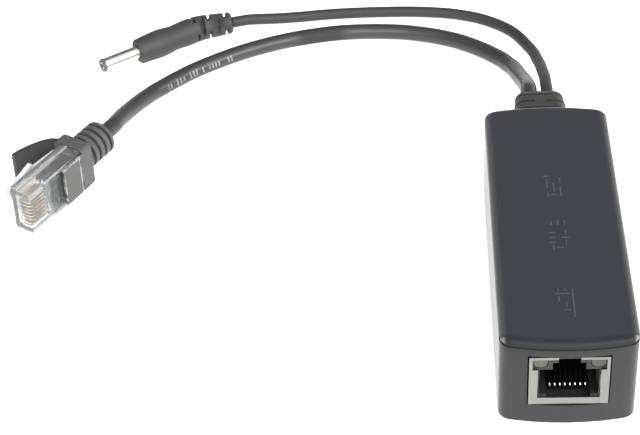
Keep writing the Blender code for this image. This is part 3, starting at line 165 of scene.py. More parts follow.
# %% [markdown]
# Finishes come next. An effect that more than one finish uses is a node group with named inputs and
# outputs. The groups put out only colours, roughness values and heights. The Principled shader stays in
# each material. Much of a node tree is plumbing, so a few helpers do it. The first gives a socket its
# value, whether that comes from another node or is a plain number.

# %% Helpers for node trees
def feed(tree, source, socket):
    """Links a node, or a (node, output) pair, to a socket. Anything else is a value, and is set on it."""
    if isinstance(source, bpy.types.Node):
        source = (source, 0)
    if isinstance(source, tuple) and isinstance(source[0], bpy.types.Node):
        tree.links.new(source[0].outputs[source[1]], socket)
    else:
        socket.default_value = source


def add_math(tree, operation, *values, clamp=False):
    node = tree.nodes.new("ShaderNodeMath")
    node.operation = operation
    node.use_clamp = clamp
    for value, socket in zip(values, node.inputs):
        feed(tree, value, socket)
    return node


def add_noise(tree, scale, detail=2.0, roughness=0.5, vector=None):
    """Soft noise. It sticks to the piece itself where no other vector is given."""
    node = tree.nodes.new("ShaderNodeTexNoise")
    feed(tree, vector or (tree.nodes.new("ShaderNodeTexCoord"), "Object"), node.inputs["Vector"])
    feed(tree, scale, node.inputs["Scale"])
    feed(tree, detail, node.inputs["Detail"])
    feed(tree, roughness, node.inputs["Roughness"])
    return node


def stretched(tree, place, factors):
    """A place that is multiplied part by part, which squeezes a texture along each axis."""
    node = tree.nodes.new("ShaderNodeVectorMath")
    node.operation = "MULTIPLY"
    feed(tree, place, node.inputs[0])
    feed(tree, factors, node.inputs[1])
    return node


def scaled_colour(tree, colour, factor):
    """A colour made lighter or darker by a factor that changes over the surface."""
    node = tree.nodes.new("ShaderNodeVectorMath")
    node.operation = "SCALE"
    feed(tree, colour, node.inputs[0])
    feed(tree, factor, node.inputs["Scale"])
    return node


def new_group(name, inputs, outputs):
    """An empty node group with named sockets, and the nodes that stand for its inputs and its outputs."""
    group = bpy.data.node_groups.new(name, "ShaderNodeTree")
    for label, kind, value in inputs:
        group.interface.new_socket(label, in_out="INPUT", socket_type=kind).default_value = value
    for label, kind in outputs:
        group.interface.new_socket(label, in_out="OUTPUT", socket_type=kind)
    return group, group.nodes.new("NodeGroupInput"), group.nodes.new("NodeGroupOutput")


print("node helpers ready")

# %% [markdown]
# Moulded plastic is never one even colour. The mould leaves a fine grain, and the colour drifts a little
# over a few centimetres. A photographed texture would repeat and would need a flat map, so noise makes
# both. This group gives a drifting colour, a roughness that follows it, and a grain height. Its grain size
# is in millimetres.

# %% Moulded surface group
def moulded_surface():
    group, given, result = new_group(
        "moulded_surface",
        [("Colour", "NodeSocketColor", (0.05, 0.05, 0.05, 1.0)), ("Drift", "NodeSocketFloat", 0.15),
         ("Roughness", "NodeSocketFloat", 0.5), ("Grain Size", "NodeSocketFloat", 0.4),
         ("Speckle", "NodeSocketFloat", 0.3)],
        [("Colour", "NodeSocketColor"), ("Roughness", "NodeSocketFloat"), ("Height", "NodeSocketFloat")])
    drift_scale, roughness_drift = 55.0, 0.25
    drift = add_math(group, "SUBTRACT", add_noise(group, drift_scale, 3.0, 0.6), 0.5)
    grain_scale = add_math(group, "DIVIDE", 1.0 / mm, (given, "Grain Size"))
    grain = add_noise(group, grain_scale, 2.0, 0.6)
    drift_amount = add_math(group, "MULTIPLY", drift, (given, "Drift"))
    speckle = add_math(group, "MULTIPLY", add_math(group, "SUBTRACT", grain, 0.5), (given, "Speckle"))
    factor = add_math(group, "ADD", add_math(group, "ADD", drift_amount, speckle), 1.0)
    rough_drift = add_math(group, "MULTIPLY", drift, roughness_drift)
    roughness = add_math(group, "ADD", (given, "Roughness"), rough_drift, clamp=True)
    feed(group, scaled_colour(group, (given, "Colour"), factor), result.inputs["Colour"])
    feed(group, roughness, result.inputs["Roughness"])
    feed(group, grain, result.inputs["Height"])
    return group


moulded = moulded_surface()
print("moulded surface group:", len(moulded.nodes), "nodes")

# %% [markdown]
# Rolled sheet and turned metal carry fine parallel scratches. Drawn scratches would all have to be placed,
# and noise needs no placing. Its coordinates are multiplied more across the rolling direction than along
# it, so that each grain becomes a long streak.

# %% Metal streak group
def metal_streaks():
    group, given, result = new_group(
        "metal_streaks",
        [("Colour", "NodeSocketColor", (0.6, 0.6, 0.6, 1.0)), ("Stain", "NodeSocketFloat", 0.2),
         ("Roughness", "NodeSocketFloat", 0.3), ("Stretch", "NodeSocketVector", (1.0, 1.0, 12.0))],
        [("Colour", "NodeSocketColor"), ("Roughness", "NodeSocketFloat"), ("Height", "NodeSocketFloat")])
    place = group.nodes.new("ShaderNodeTexCoord")
    squeezed = stretched(group, (place, "Object"), (given, "Stretch"))
    streak_scale, stain_scale, roughness_change = 900.0, 260.0, 0.3
    streaks = add_noise(group, streak_scale, 3.0, 0.7, squeezed)
    stains = add_math(group, "SUBTRACT", add_noise(group, stain_scale, 3.0, 0.6), 0.5)
    factor = add_math(group, "ADD", add_math(group, "MULTIPLY", stains, (given, "Stain")), 1.0)
    rough_change = add_math(group, "MULTIPLY", add_math(group, "SUBTRACT", streaks, 0.5), roughness_change)
    roughness = add_math(group, "ADD", (given, "Roughness"), rough_change, clamp=True)
    feed(group, scaled_colour(group, (given, "Colour"), factor), result.inputs["Colour"])
    feed(group, roughness, result.inputs["Roughness"])
    feed(group, streaks, result.inputs["Height"])
    return group


streaked = metal_streaks()
print("metal streak group:", len(streaked.nodes), "nodes")

# %% [markdown]
# Nearly every piece is moulded plastic or plated metal. They differ in little more than colour, roughness
# and grain, so one maker for each kind sets up the material round its group. The grain becomes a bump,
# because real relief this fine would need millions of faces.

# %% Makers of finishes
def finish(name, colour, roughness, metallic=0.0):
    """A new material, its node tree and its shader."""
    material = bpy.data.materials.new(name)
    material.use_nodes = True
    tree = material.node_tree
    shader = tree.nodes["Principled BSDF"]
    shader.inputs["Base Color"].default_value = (*colour, 1.0)
    shader.inputs["Roughness"].default_value = roughness
    shader.inputs["Metallic"].default_value = metallic
    return material, tree, shader


def surfaced(tree, shader, group, **values):
    """Adds a surface group to a material. It gives the shader its colour and roughness."""
    surface = tree.nodes.new("ShaderNodeGroup")
    surface.node_tree = group
    for label, value in values.items():
        surface.inputs[label.replace("_", " ")].default_value = value
    feed(tree, (surface, "Colour"), shader.inputs["Base Color"])
    feed(tree, (surface, "Roughness"), shader.inputs["Roughness"])
    return surface


def bump_from(tree, shader, height, strength, distance):
    bump = tree.nodes.new("ShaderNodeBump")
    feed(tree, strength, bump.inputs["Strength"])
    feed(tree, distance, bump.inputs["Distance"])
    feed(tree, height, bump.inputs["Height"])
    feed(tree, bump, shader.inputs["Normal"])


def plastic(name, colour, roughness, drift=0.15, grain=0.4, speckle=0.25, relief=0.02, specular=0.5, skin=0.0,
            skin_ior=1.25):
    """Moulded plastic. Grain and relief are in millimetres. A skin shines only at a glancing view."""
    material, tree, shader = finish(name, colour, roughness)
    surface = surfaced(tree, shader, moulded, Colour=(*colour, 1.0), Drift=drift, Roughness=roughness,
                       Grain_Size=grain, Speckle=speckle)
    bump_from(tree, shader, (surface, "Height"), 0.5, relief * mm)
    shader.inputs["Specular IOR Level"].default_value = specular
    shader.inputs["Coat Weight"].default_value = skin
    shader.inputs["Coat Roughness"].default_value = 0.14
    shader.inputs["Coat IOR"].default_value = skin_ior
    return material


def metal(name, colour, roughness, stain=0.2, stretch=(1.0, 1.0, 12.0), relief=0.004):
    """Plated or bare metal with fine streaks. Relief is in millimetres."""
    material, tree, shader = finish(name, colour, roughness, 1.0)
    surface = surfaced(tree, shader, streaked, Colour=(*colour, 1.0), Stain=stain, Roughness=roughness,
                       Stretch=stretch)
    bump_from(tree, shader, (surface, "Height"), 0.4, relief * mm)
    return material


print("makers ready")

# %% [markdown]
# The case and the lid are a matt charcoal with a skin that shines at a glancing view. The boot, the grip
# and the moulding round the leads are of a softer plastic, paler than the case. The rest is what such a box
# holds: nickel and tinned sheet, gold blades, black packages, ferrite, tape and a lacquered board.

# %% Plain finishes
# The case and the lid are one charcoal plastic. The case is painted about half as dark as the lid: painted
# shade that keeps the strongly lit front wall dark.
shade_darkened_case_plastic = plastic("shade_darkened_case_plastic", (0.0175, 0.018, 0.018), 0.6, drift=0.12, grain=0.35, speckle=0.35,
                       specular=0.25, skin=1.0)
lid_plastic = plastic("lid_plastic", (0.033, 0.036, 0.040), 0.6, drift=0.12, grain=0.35, speckle=0.35,
                      specular=0.25, skin=1.0)
boot_plastic = plastic("boot_plastic", (0.080, 0.080, 0.079), 0.56, drift=0.25, grain=0.3, speckle=0.2)
grip_plastic = plastic("grip_plastic", (0.039, 0.039, 0.040), 0.62, drift=0.25, grain=0.3)
sleeve_plastic = plastic("sleeve_plastic", (0.028, 0.030, 0.027), 0.4, drift=0.7, grain=1.1, speckle=0.7,
                         relief=0.06, skin=1.0, skin_ior=1.35)
relief_plastic = plastic("relief_plastic", (0.048, 0.048, 0.049), 0.56, drift=0.25, grain=0.3)
jack_plastic = plastic("jack_plastic", (0.017, 0.017, 0.017), 0.45, drift=0.3, grain=0.25, speckle=0.3)
package_plastic = plastic("package_plastic", (0.02, 0.02, 0.022), 0.55, drift=0.2, grain=0.2, speckle=0.5)
ferrite_ceramic = plastic("ferrite_ceramic", (0.05, 0.05, 0.055), 0.7, drift=0.3, grain=0.15, speckle=0.6)
winding_tape = plastic("winding_tape", (0.55, 0.42, 0.06), 0.3, drift=0.1, grain=0.6, speckle=0.1)
can_sleeve = plastic("can_sleeve", (0.03, 0.04, 0.09), 0.3, drift=0.1, grain=0.6, speckle=0.1)
bobbin_nylon = plastic("bobbin_nylon", (0.72, 0.68, 0.55), 0.5, drift=0.1, grain=0.3, speckle=0.15)
wire_cover = plastic("wire_cover", (0.70, 0.68, 0.60), 0.4, drift=0.5, grain=0.5, speckle=0.2)
tip_nylon = plastic("tip_nylon", (0.10, 0.10, 0.10), 0.45, drift=0.1, grain=0.3, speckle=0.15)
board_lacquer = plastic("board_lacquer", (0.02, 0.12, 0.05), 0.3, drift=0.25, grain=0.9, speckle=0.3)
plated_sheet = metal("plated_sheet", (0.29, 0.29, 0.275), 0.42, stain=0.25, stretch=(0.15, 1.0, 1.0))
blade_gold = metal("blade_gold", (0.88, 0.79, 0.60), 0.38)
# The springs' near black colour is painted shade, for wire that lies in the dark of the jack.
contact_metal_painted_dark = metal("contact_metal_painted_dark", (0.012, 0.012, 0.011), 0.5)
bright_nickel = metal("bright_nickel", (0.78, 0.76, 0.70), 0.28, stain=0.1, stretch=(1.0, 1.0, 1.0))
print("finishes so far:", len(bpy.data.materials))

# %% [markdown]
# Some finishes change over a piece. Separate pieces with separate materials would leave hard borders. So a
# soft step turns a place on the piece into a mask from zero to one, and the mask moves the finish from one
# colour, shine or height to another. Every piece has its origin at the model's own, so its Object
# coordinates are places in the model.

# %% Helpers for marked finishes
def tree_and_shader(material):
    return material.node_tree, material.node_tree.nodes["Principled BSDF"]


def object_place(tree):
    """Splits the place on the piece into X, Y and Z."""
    split = tree.nodes.new("ShaderNodeSeparateXYZ")
    feed(tree, (tree.nodes.new("ShaderNodeTexCoord"), "Object"), split.inputs[0])
    return split


def soft_step(tree, value, start, stop):
    """Goes softly from zero at start to one at stop."""
    node = tree.nodes.new("ShaderNodeMapRange")
    node.interpolation_type = "SMOOTHSTEP"
    feed(tree, value, node.inputs["Value"])
    feed(tree, start, node.inputs["From Min"])
    feed(tree, stop, node.inputs["From Max"])
    return node


def distance_from(tree, value, middle):
    return add_math(tree, "ABSOLUTE", add_math(tree, "SUBTRACT", value, middle))


def product(tree, first, *others):
    for other in others:
        first = add_math(tree, "MULTIPLY", first, other)
    return first


def lowered(tree, mask, amount, whole=1.0):
    """A factor that is whole outside a mask, and less by an amount inside it."""
    return add_math(tree, "MULTIPLY_ADD", mask, -amount, whole)


def link_into(shader, label):
    """The (node, output) pair that a shader's socket is linked to."""
    source = shader.inputs[label].links[0].from_socket
    return source.node, source.name


def paint(tree, shader, mask, colour):
    """Lays a second colour over what a shader already has, where the mask says so."""
    painted = tree.nodes.new("ShaderNodeMix")
    painted.data_type = "RGBA"
    feed(tree, mask, painted.inputs["Factor"])
    feed(tree, link_into(shader, "Base Color"), painted.inputs["A"])
    feed(tree, (*colour, 1.0), painted.inputs["B"])
    feed(tree, (painted, "Result"), shader.inputs["Base Color"])


def shade(tree, shader, factor):
    """Makes what a shader already has lighter or darker."""
    feed(tree, scaled_colour(tree, link_into(shader, "Base Color"), factor), shader.inputs["Base Color"])


print("mask helpers ready")

# %% [markdown]
# A jack's springs are gold where the plug's blades meet them, at the front of the bend. The rest of the wire
# lies in the dark of the jack, so its colour is painted near black, as painted shade. A thin stroke of pale
# gold along the middle of each wire, at the front of the bend, is a painted highlight. It makes the row of
# small bright dots. The springs stand at an even pitch, so one mask serves all eight.

# %% Painted highlights on the springs
bend_low, bend_high, bend_rear = 8.15 * mm, 8.60 * mm, -36.55 * mm
spring_pitch, highlight_half_width, highlight_blur = 1.02 * mm, 0.11 * mm, 0.03 * mm
bend_highlight_colour = (0.95, 0.90, 0.78)


def paint_bend_highlights(material):
    tree, shader = tree_and_shader(material)
    split = object_place(tree)
    above = soft_step(tree, (split, "Z"), bend_low - highlight_blur, bend_low + highlight_blur)
    below = soft_step(tree, (split, "Z"), bend_high + highlight_blur, bend_high - highlight_blur)
    in_front = soft_step(tree, (split, "Y"), bend_rear + highlight_blur, bend_rear - highlight_blur)
    across = add_math(tree, "FRACT", add_math(tree, "MULTIPLY", (split, "X"), 1.0 / spring_pitch))
    in_middle = soft_step(tree, distance_from(tree, across, 0.5),
                          (highlight_half_width + highlight_blur) / spring_pitch,
                          (highlight_half_width - highlight_blur) / spring_pitch)
    paint(tree, shader, product(tree, above, below, in_front, in_middle), bend_highlight_colour)


paint_bend_highlights(contact_metal_painted_dark)
# The painted highlight on each bend lies between these two heights.
print("springs are gold between", bend_low, "and", bend_high, "m")

# %% [markdown]
# The network plug has its own frame: X runs from its nose to the lead, Y from its contacts to its latch,
# and Z across it. A Mapping node turns places on the piece into that frame. The boot's flat sleeve shows
# through the clear rear of the plug, whose edges catch the light at both ends of the sleeve and along its
# top. These glints are painted highlights: pale, broken lines painted on the sleeve itself, so that they
# stay in place from every side.

# %% Painted edge highlights on the sleeve
plug_corner, plug_turn, plug_lean = (-0.12005, 0.0233, 0.0001), radians(60), radians(2)
front_line, rear_line, top_line, line_blur = 12.55 * mm, 18.05 * mm, 10.5 * mm, 0.15 * mm
break_scale, break_range, edge_highlight_colour = 650.0, (0.40, 0.62), (0.30, 0.31, 0.29)


def place_in_plug(tree):
    """Splits the place on the piece, in the plug's frame, into X, Y and Z."""
    into_frame = tree.nodes.new("ShaderNodeMapping")
    into_frame.vector_type = "TEXTURE"
    feed(tree, (tree.nodes.new("ShaderNodeTexCoord"), "Object"), into_frame.inputs["Vector"])
    feed(tree, plug_corner, into_frame.inputs["Location"])
    feed(tree, (plug_lean, 0.0, plug_turn), into_frame.inputs["Rotation"])
    split = tree.nodes.new("ShaderNodeSeparateXYZ")
    feed(tree, into_frame, split.inputs[0])
    return split


def paint_sleeve_edge_highlights(material):
    tree, shader = tree_and_shader(material)
    split = place_in_plug(tree)
    at_front = soft_step(tree, (split, "X"), front_line + line_blur, front_line - line_blur)
    at_rear = soft_step(tree, (split, "X"), rear_line - line_blur, rear_line + line_blur)
    at_top = soft_step(tree, (split, "Z"), top_line - line_blur, top_line + line_blur)
    edges = add_math(tree, "MAXIMUM", add_math(tree, "MAXIMUM", at_front, at_rear), at_top)
    breaks = soft_step(tree, add_noise(tree, break_scale, 2.0, 0.6), *break_range)
    paint(tree, shader, product(tree, edges, breaks), edge_highlight_colour)


paint_sleeve_edge_highlights(sleeve_plastic)
print("sleeve finish has", len(sleeve_plastic.node_tree.nodes), "nodes")

# %% [markdown]
# The lid carries a row of raised marks along its middle. Plain strokes stand in for the lettering. They
# could be modelled, but forms belong to the imported model, so a bump raises them in the finish alone. The
# middle of the lid is cut into small cells, and chance gives each cell a stroke along the lid, one across
# it, or none. White noise gives the same number for a cell each time, so the marks never change.
# A stroke is raised, and painted paler where it would catch the light: a painted highlight, broken up by
# noise. There are three groups of them, as words would be.

# %% Raised strokes on the lid
cell_width, cell_length, stroke_half_width, stroke_blur = 1.4 * mm, 1.6 * mm, 0.17 * mm, 0.08 * mm
row_half_width, stroke_height = 1.5 * cell_width, 0.10 * mm
along_below, across_above = 0.42, 0.70
stroke_break_scale, stroke_highlight_colour = 700.0, (0.115, 0.118, 0.122)
stroke_groups = ((9.8 * mm, 4.0 * mm), (-6.0 * mm, 5.2 * mm), (-27.8 * mm, 4.4 * mm))


def stroke_mask(tree, split):
    """One on the strokes. A low chance gives a cell a stroke along the lid, a high one a stroke across."""
    cell_number = tree.nodes.new("ShaderNodeCombineXYZ")
    lines = []
    for axis, size, shift in (("X", cell_width, 0.5), ("Y", cell_length, 0.0)):
        cells = add_math(tree, "MULTIPLY_ADD", (split, axis), 1.0 / size, shift)
        feed(tree, add_math(tree, "FLOOR", cells), cell_number.inputs[axis])
        off_middle = distance_from(tree, add_math(tree, "FRACT", cells), 0.5)
        lines.append(soft_step(tree, off_middle, (stroke_half_width + stroke_blur) / size,
                               (stroke_half_width - stroke_blur) / size))
    chance = tree.nodes.new("ShaderNodeTexWhiteNoise")
    chance.noise_dimensions = "2D"
    feed(tree, cell_number, chance.inputs["Vector"])
    along = product(tree, lines[0], add_math(tree, "LESS_THAN", chance, along_below))
    across = product(tree, lines[1], add_math(tree, "GREATER_THAN", chance, across_above))
    return add_math(tree, "ADD", along, across)


def group_mask(tree, split):
    """One in the row of marks, where a group is. Each group has a middle and a half length along Y."""
    in_groups = 0.0
    for middle, half_length in stroke_groups:
        in_group = add_math(tree, "LESS_THAN", distance_from(tree, (split, "Y"), middle), half_length)
        in_groups = add_math(tree, "ADD", in_groups, in_group)
    in_row = add_math(tree, "LESS_THAN", distance_from(tree, (split, "X"), 0.0), row_half_width)
    return product(tree, in_row, in_groups)


def raise_strokes(material):
    tree, shader = tree_and_shader(material)
    split = object_place(tree)
    raised = product(tree, stroke_mask(tree, split), group_mask(tree, split))
    stroke_bump = tree.nodes.new("ShaderNodeBump")
    feed(tree, stroke_height, stroke_bump.inputs["Distance"])
    feed(tree, raised, stroke_bump.inputs["Height"])
    grain_bump, _ = link_into(shader, "Normal")
    feed(tree, stroke_bump, grain_bump.inputs["Normal"])
    # Painted highlight: the raised strokes are painted paler, in patches broken by noise.
    painted_stroke_highlight = add_math(tree, "MULTIPLY", raised, add_noise(tree, stroke_break_scale, 2.0, 0.6))
    paint(tree, shader, painted_stroke_highlight, stroke_highlight_colour)


raise_strokes(lid_plastic)
print("groups of strokes:", len(stroke_groups))

# %% [markdown]
# The long edges of the lid are painted paler over the last millimetres: a painted reflection of the bright
# surroundings at a glancing view. The front edge, which is smooth and lies lower, is painted darker as
# painted shade and loses its skin's shine, with a painted highlight at each corner. A painted map could show
# all this, but masks that measure from the edges need no image. The front one measures from the bowed
# outline of the lid.

# %% Rim of the lid
lid_half_width, lid_front, end_bulge = 13.9 * mm, -39.9 * mm, 1.65 * mm
pale_side, spot_side = (12.1 * mm, 13.8 * mm), (12.5 * mm, 13.2 * mm)
dark_front, dark_lip, spot_front = (2.3 * mm, 1.5 * mm), (0.5 * mm, 0.1 * mm), (1.6 * mm, 1.0 * mm)
side_highlight_colour, corner_highlight_colour = (0.105, 0.105, 0.103), (0.22, 0.22, 0.22)


def distance_from_lid_front(tree, split):
    """The lid's front edge is a shallow arc, whose rise grows with the square of X."""
    share = add_math(tree, "MULTIPLY", (split, "X"), 1.0 / lid_half_width)
    bow = add_math(tree, "MULTIPLY", product(tree, share, share), end_bulge)
    return add_math(tree, "SUBTRACT", (split, "Y"), add_math(tree, "ADD", bow, lid_front))


def paint_rim_light_and_shade(material):
    tree, shader = tree_and_shader(material)
    split = object_place(tree)
    from_centre = distance_from(tree, (split, "X"), 0.0)
    from_front = distance_from_lid_front(tree, split)
    side = soft_step(tree, from_centre, *pale_side)
    front = soft_step(tree, from_front, *dark_front)
    lip = soft_step(tree, from_front, *dark_lip)
    # Painted reflection along the long edges, painted shade at the front, painted highlights at the front
    # corners.
    paint(tree, shader, add_math(tree, "MULTIPLY", side, 0.9), side_highlight_colour)
    shade(tree, shader, product(tree, lowered(tree, front, 0.30), lowered(tree, lip, 0.35)))
    corner = product(tree, soft_step(tree, from_centre, *spot_side), soft_step(tree, from_front, *spot_front))
    paint(tree, shader, corner, corner_highlight_colour)
    feed(tree, lowered(tree, front, 0.9), shader.inputs["Coat Weight"])


paint_rim_light_and_shade(lid_plastic)
print("lid finish with its rim has", len(lid_plastic.node_tree.nodes), "nodes")

# %% [markdown]
# The seam between the lid and the case would show as a black line, so painted light lifts it to a soft grey.
# A paler colour is painted on what the seam shows of both: the lid below its lower edge, and the step round
# the case. The case is painted a little darker just under the step, as painted shade under the lid.

# %% Painted light and shade at the seam
lid_edge, case_step, seam_blur, shadow_depth = 21.08 * mm, 20.38 * mm, 0.03 * mm, 1.0 * mm
seam_light_lid_colour, seam_light_step_colour, under_step_shade_colour = (0.036, 0.036, 0.036), (0.030, 0.030, 0.030), (0.004, 0.004, 0.004)


def light_seam_on_lid(material):
    tree, shader = tree_and_shader(material)
    in_seam = soft_step(tree, (object_place(tree), "Z"), lid_edge + seam_blur, lid_edge - seam_blur)
    paint(tree, shader, in_seam, seam_light_lid_colour)


def light_and_shade_seam_on_case(material):
    tree, shader = tree_and_shader(material)
    split = object_place(tree)
    below_step = soft_step(tree, (split, "Z"), case_step - shadow_depth, case_step)
    paint(tree, shader, add_math(tree, "MULTIPLY", below_step, 0.5), under_step_shade_colour)
    on_step = soft_step(tree, (split, "Z"), case_step - seam_blur, case_step + seam_blur)
    paint(tree, shader, on_step, seam_light_step_colour)


light_seam_on_lid(lid_plastic)
light_and_shade_seam_on_case(shade_darkened_case_plastic)
# The painted light in the seam lies between these two heights.
print("dust lies between", case_step, "and", lid_edge, "m")

# %% [markdown]
# The lamps in the jack are light pipes of tinted plastic, unlit here. A little light passes into them, so a
# part of the shader's light goes through and the rest scatters at the surface.

# %% Lamp lenses
def lens(name, colour, roughness=0.25):
    material, tree, shader = finish(name, colour, roughness)
    surfaced(tree, shader, moulded, Colour=(*colour, 1.0), Drift=0.3, Roughness=roughness, Grain_Size=0.8,
             Speckle=0.2)
    shader.inputs["Transmission Weight"].default_value = 0.35
    shader.inputs["Coat Weight"].default_value = 0.5
    return material


lens_olive = lens("lens_olive", (0.080, 0.084, 0.052))
lens_grey = lens("lens_grey", (0.048, 0.052, 0.045))
print("lenses:", lens_olive.name, "and", lens_grey.name)

# %% [markdown]
# The housing of the network plug is clear polycarbonate, and takes its look from what lies inside it. It is
# rippled at its nose and calmer behind, where it is also tinted, because the boot's core fills it and
# darkens it. The side that carries the latch and the upper narrow side keep their clear colour. A mask
# fades the tint in, where a second material would begin at a hard line.
# The latch is finely textured, so it is a second, frosted finish that lets little light through.

# %% Clear and frosted plastic
nose_colour, rear_colour = (0.97, 0.98, 0.97), (0.38, 0.40, 0.39)
tint_along, tint_from_latch = (7.4 * mm, 8.4 * mm), (4.4 * mm, 3.6 * mm)
tint_from_top = (11.4 * mm, 10.8 * mm)
clear_plastic, tree, shader = finish("clear_plastic", nose_colour, 0.04)
shader.inputs["Transmission Weight"].default_value = 0.91
shader.inputs["IOR"].default_value = 1.36
split = place_in_plug(tree)
behind = soft_step(tree, (split, "X"), *tint_along)
beside_latch = soft_step(tree, (split, "Y"), *tint_from_latch)
under_top = soft_step(tree, (split, "Z"), *tint_from_top)
untinted = tree.nodes.new("ShaderNodeRGB")
untinted.outputs[0].default_value = (*nose_colour, 1.0)
feed(tree, untinted, shader.inputs["Base Color"])
paint(tree, shader, product(tree, behind, beside_latch, under_top), rear_colour)
ripple = add_noise(tree, 280.0, 2.0, 0.5)
feed(tree, add_math(tree, "MULTIPLY", ripple, 0.12), shader.inputs["Roughness"])
bump_from(tree, shader, ripple, lowered(tree, behind, 0.42, 0.5), 0.10 * mm)

frosted_plastic, tree, shader = finish("frosted_plastic", (0.93, 0.95, 0.94), 0.38)
shader.inputs["Transmission Weight"].default_value = 0.12
shader.inputs["IOR"].default_value = 1.52
cloud = add_noise(tree, 420.0, 3.0, 0.6)
feed(tree, add_math(tree, "MULTIPLY_ADD", cloud, 0.3, 0.25), shader.inputs["Roughness"])
bump_from(tree, shader, cloud, 0.6, 0.14 * mm)
print("clear finishes:", clear_plastic.name, "and", frosted_plastic.name)

# %% [markdown]
# Both leads have an extruded jacket: smooth, with faint lines along its length, and shinier on the network
# lead. Lines that stick to Object coordinates would cut across the bends. A curve's own map runs along the
# lead in U and round it in V, so lines and marks can follow the bends.

# %% Lead jackets
line_stretch = (6.0, 60.0, 1.0)


def jacket(name, colour, roughness):
    """It also gives back the node whose UV output is the lead's own map."""
    material, tree, shader = finish(name, colour, roughness)
    surfaced(tree, shader, moulded, Colour=(*colour, 1.0), Drift=0.15, Roughness=roughness, Grain_Size=0.5,
             Speckle=0.1)
    unrolled = tree.nodes.new("ShaderNodeTexCoord")
    lines = add_noise(tree, 1.0, 2.0, 0.5, stretched(tree, (unrolled, "UV"), line_stretch))
    bump_from(tree, shader, lines, 0.35, 0.03 * mm)
    return material, unrolled


power_jacket, _ = jacket("power_jacket", (0.031, 0.031, 0.032), 0.62)
network_jacket, network_map = jacket("network_jacket", (0.036, 0.036, 0.037), 0.34)
print("jackets:", power_jacket.name, "and", network_jacket.name)

# %% [markdown]
# The real network lead is printed along one side. Plain pale dashes stand in for that print here. The
# stretch that carries it is cut into even steps along U. Chance leaves some steps out and gives each dash
# its own reach round the lead. Over a stretch of the bow, the same lead is duller and darker.
# An image could hold all this, but masks made from U and V need none.

# %% Print and wear on the network lead
print_side, print_half_angle, dashes_on_lead = 0.98, 0.075, 250.0
print_start, print_end, dash_share, left_out = 0.712, 0.797, 0.45, 0.18
dull_middle, dull_half_length, duller_by, darker_by = 0.60, 0.045, 0.4, 0.35
ink_colour, ink_wear_scale = (0.36, 0.36, 0.36), 900.0


def dash_mask(tree, split):
    steps = add_math(tree, "MULTIPLY", (split, "X"), dashes_on_lead)
    chance = tree.nodes.new("ShaderNodeTexWhiteNoise")
    chance.noise_dimensions = "1D"
    feed(tree, add_math(tree, "FLOOR", steps), chance.inputs["W"])
    reach = add_math(tree, "MULTIPLY_ADD", chance, 0.6 * print_half_angle, 0.4 * print_half_angle)
    turned = add_math(tree, "SUBTRACT", (split, "Y"), print_side)
    away = add_math(tree, "ABSOLUTE", add_math(tree, "WRAP", turned, 0.5, -0.5))
    return product(tree, add_math(tree, "LESS_THAN", away, reach),
                   add_math(tree, "LESS_THAN", add_math(tree, "FRACT", steps), dash_share),
                   add_math(tree, "GREATER_THAN", chance, left_out),
                   add_math(tree, "GREATER_THAN", (split, "X"), print_start),
                   add_math(tree, "LESS_THAN", (split, "X"), print_end))


def mark_lead(material, own_map):
    tree, shader = tree_and_shader(material)
    split = tree.nodes.new("ShaderNodeSeparateXYZ")
    feed(tree, (own_map, "UV"), split.inputs[0])
    dull = soft_step(tree, distance_from(tree, (split, "X"), dull_middle), dull_half_length,
                     0.4 * dull_half_length)
    rougher = add_math(tree, "MULTIPLY_ADD", dull, duller_by, link_into(shader, "Roughness"))
    feed(tree, rougher, shader.inputs["Roughness"])
    shade(tree, shader, lowered(tree, dull, darker_by))
    ink = add_math(tree, "MULTIPLY", dash_mask(tree, split), add_noise(tree, ink_wear_scale, 2.0, 0.5))
    paint(tree, shader, ink, ink_colour)


mark_lead(network_jacket, network_map)
print("print runs from", print_start, "to", print_end, "of the lead's length")

# %% [markdown]
# The two leads come first among the pieces, because they are what a viewer's eye follows.
# A lead could be a chain of short tubes, but its joints would show in the highlight. Each one is a single
# open curve with a round bevel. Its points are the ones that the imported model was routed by: out of the
# moulding, down to the floor, along it in one wide bow, and up into the plug. A smooth curve through those
# points, sampled finely, keeps the bends round.

# %% How a lead is made
def smooth_line(points, samples=6):
    """A fine line through the points of a route. Its first and last stretches stay straight."""
    points = [Vector(p) for p in points]
    line = [points[0]]
    for a, b, c, d in zip(points, points[1:], points[2:], points[3:]):
        for i in range(samples):
            t = i / samples
            line.append(0.5 * (2 * b + (c - a) * t + (2 * a - 5 * b + 4 * c - d) * t * t
                               + (3 * b - a - 3 * c + d) * t ** 3))
    return line + points[-2:]


def lead(name, node, points, radius, material):
    """A lead in place of a packed one, and its length."""
    line = smooth_line(points)
    data = bpy.data.curves.new(name, "CURVE")
    data.dimensions = "3D"
    data.twist_mode = "Z_UP"
    data.bevel_depth = radius
    data.bevel_resolution = 6
    data.use_fill_caps = True
    spline = data.splines.new("POLY")
    spline.points.add(len(line) - 1)
    for target, point in zip(spline.points, line):
        target.co = (*point, 1.0)
    spline.use_smooth = True
    data.materials.append(material)
    piece = linked(name, data)
    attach(piece, body)
    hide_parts(node)
    length = sum((b - a).length for a, b in zip(line, line[1:]))
    print(name, "is", round(length * 1000), "mm long")
    return piece, length


print("lead maker ready")

# %% [markdown]
# The network lead carries the data on to the device. It is the thicker of the two, leaves the moulding on
# the left, and its bow lies inside that of the power lead. A hand-drawn curve could look much the same, but
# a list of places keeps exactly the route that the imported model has.

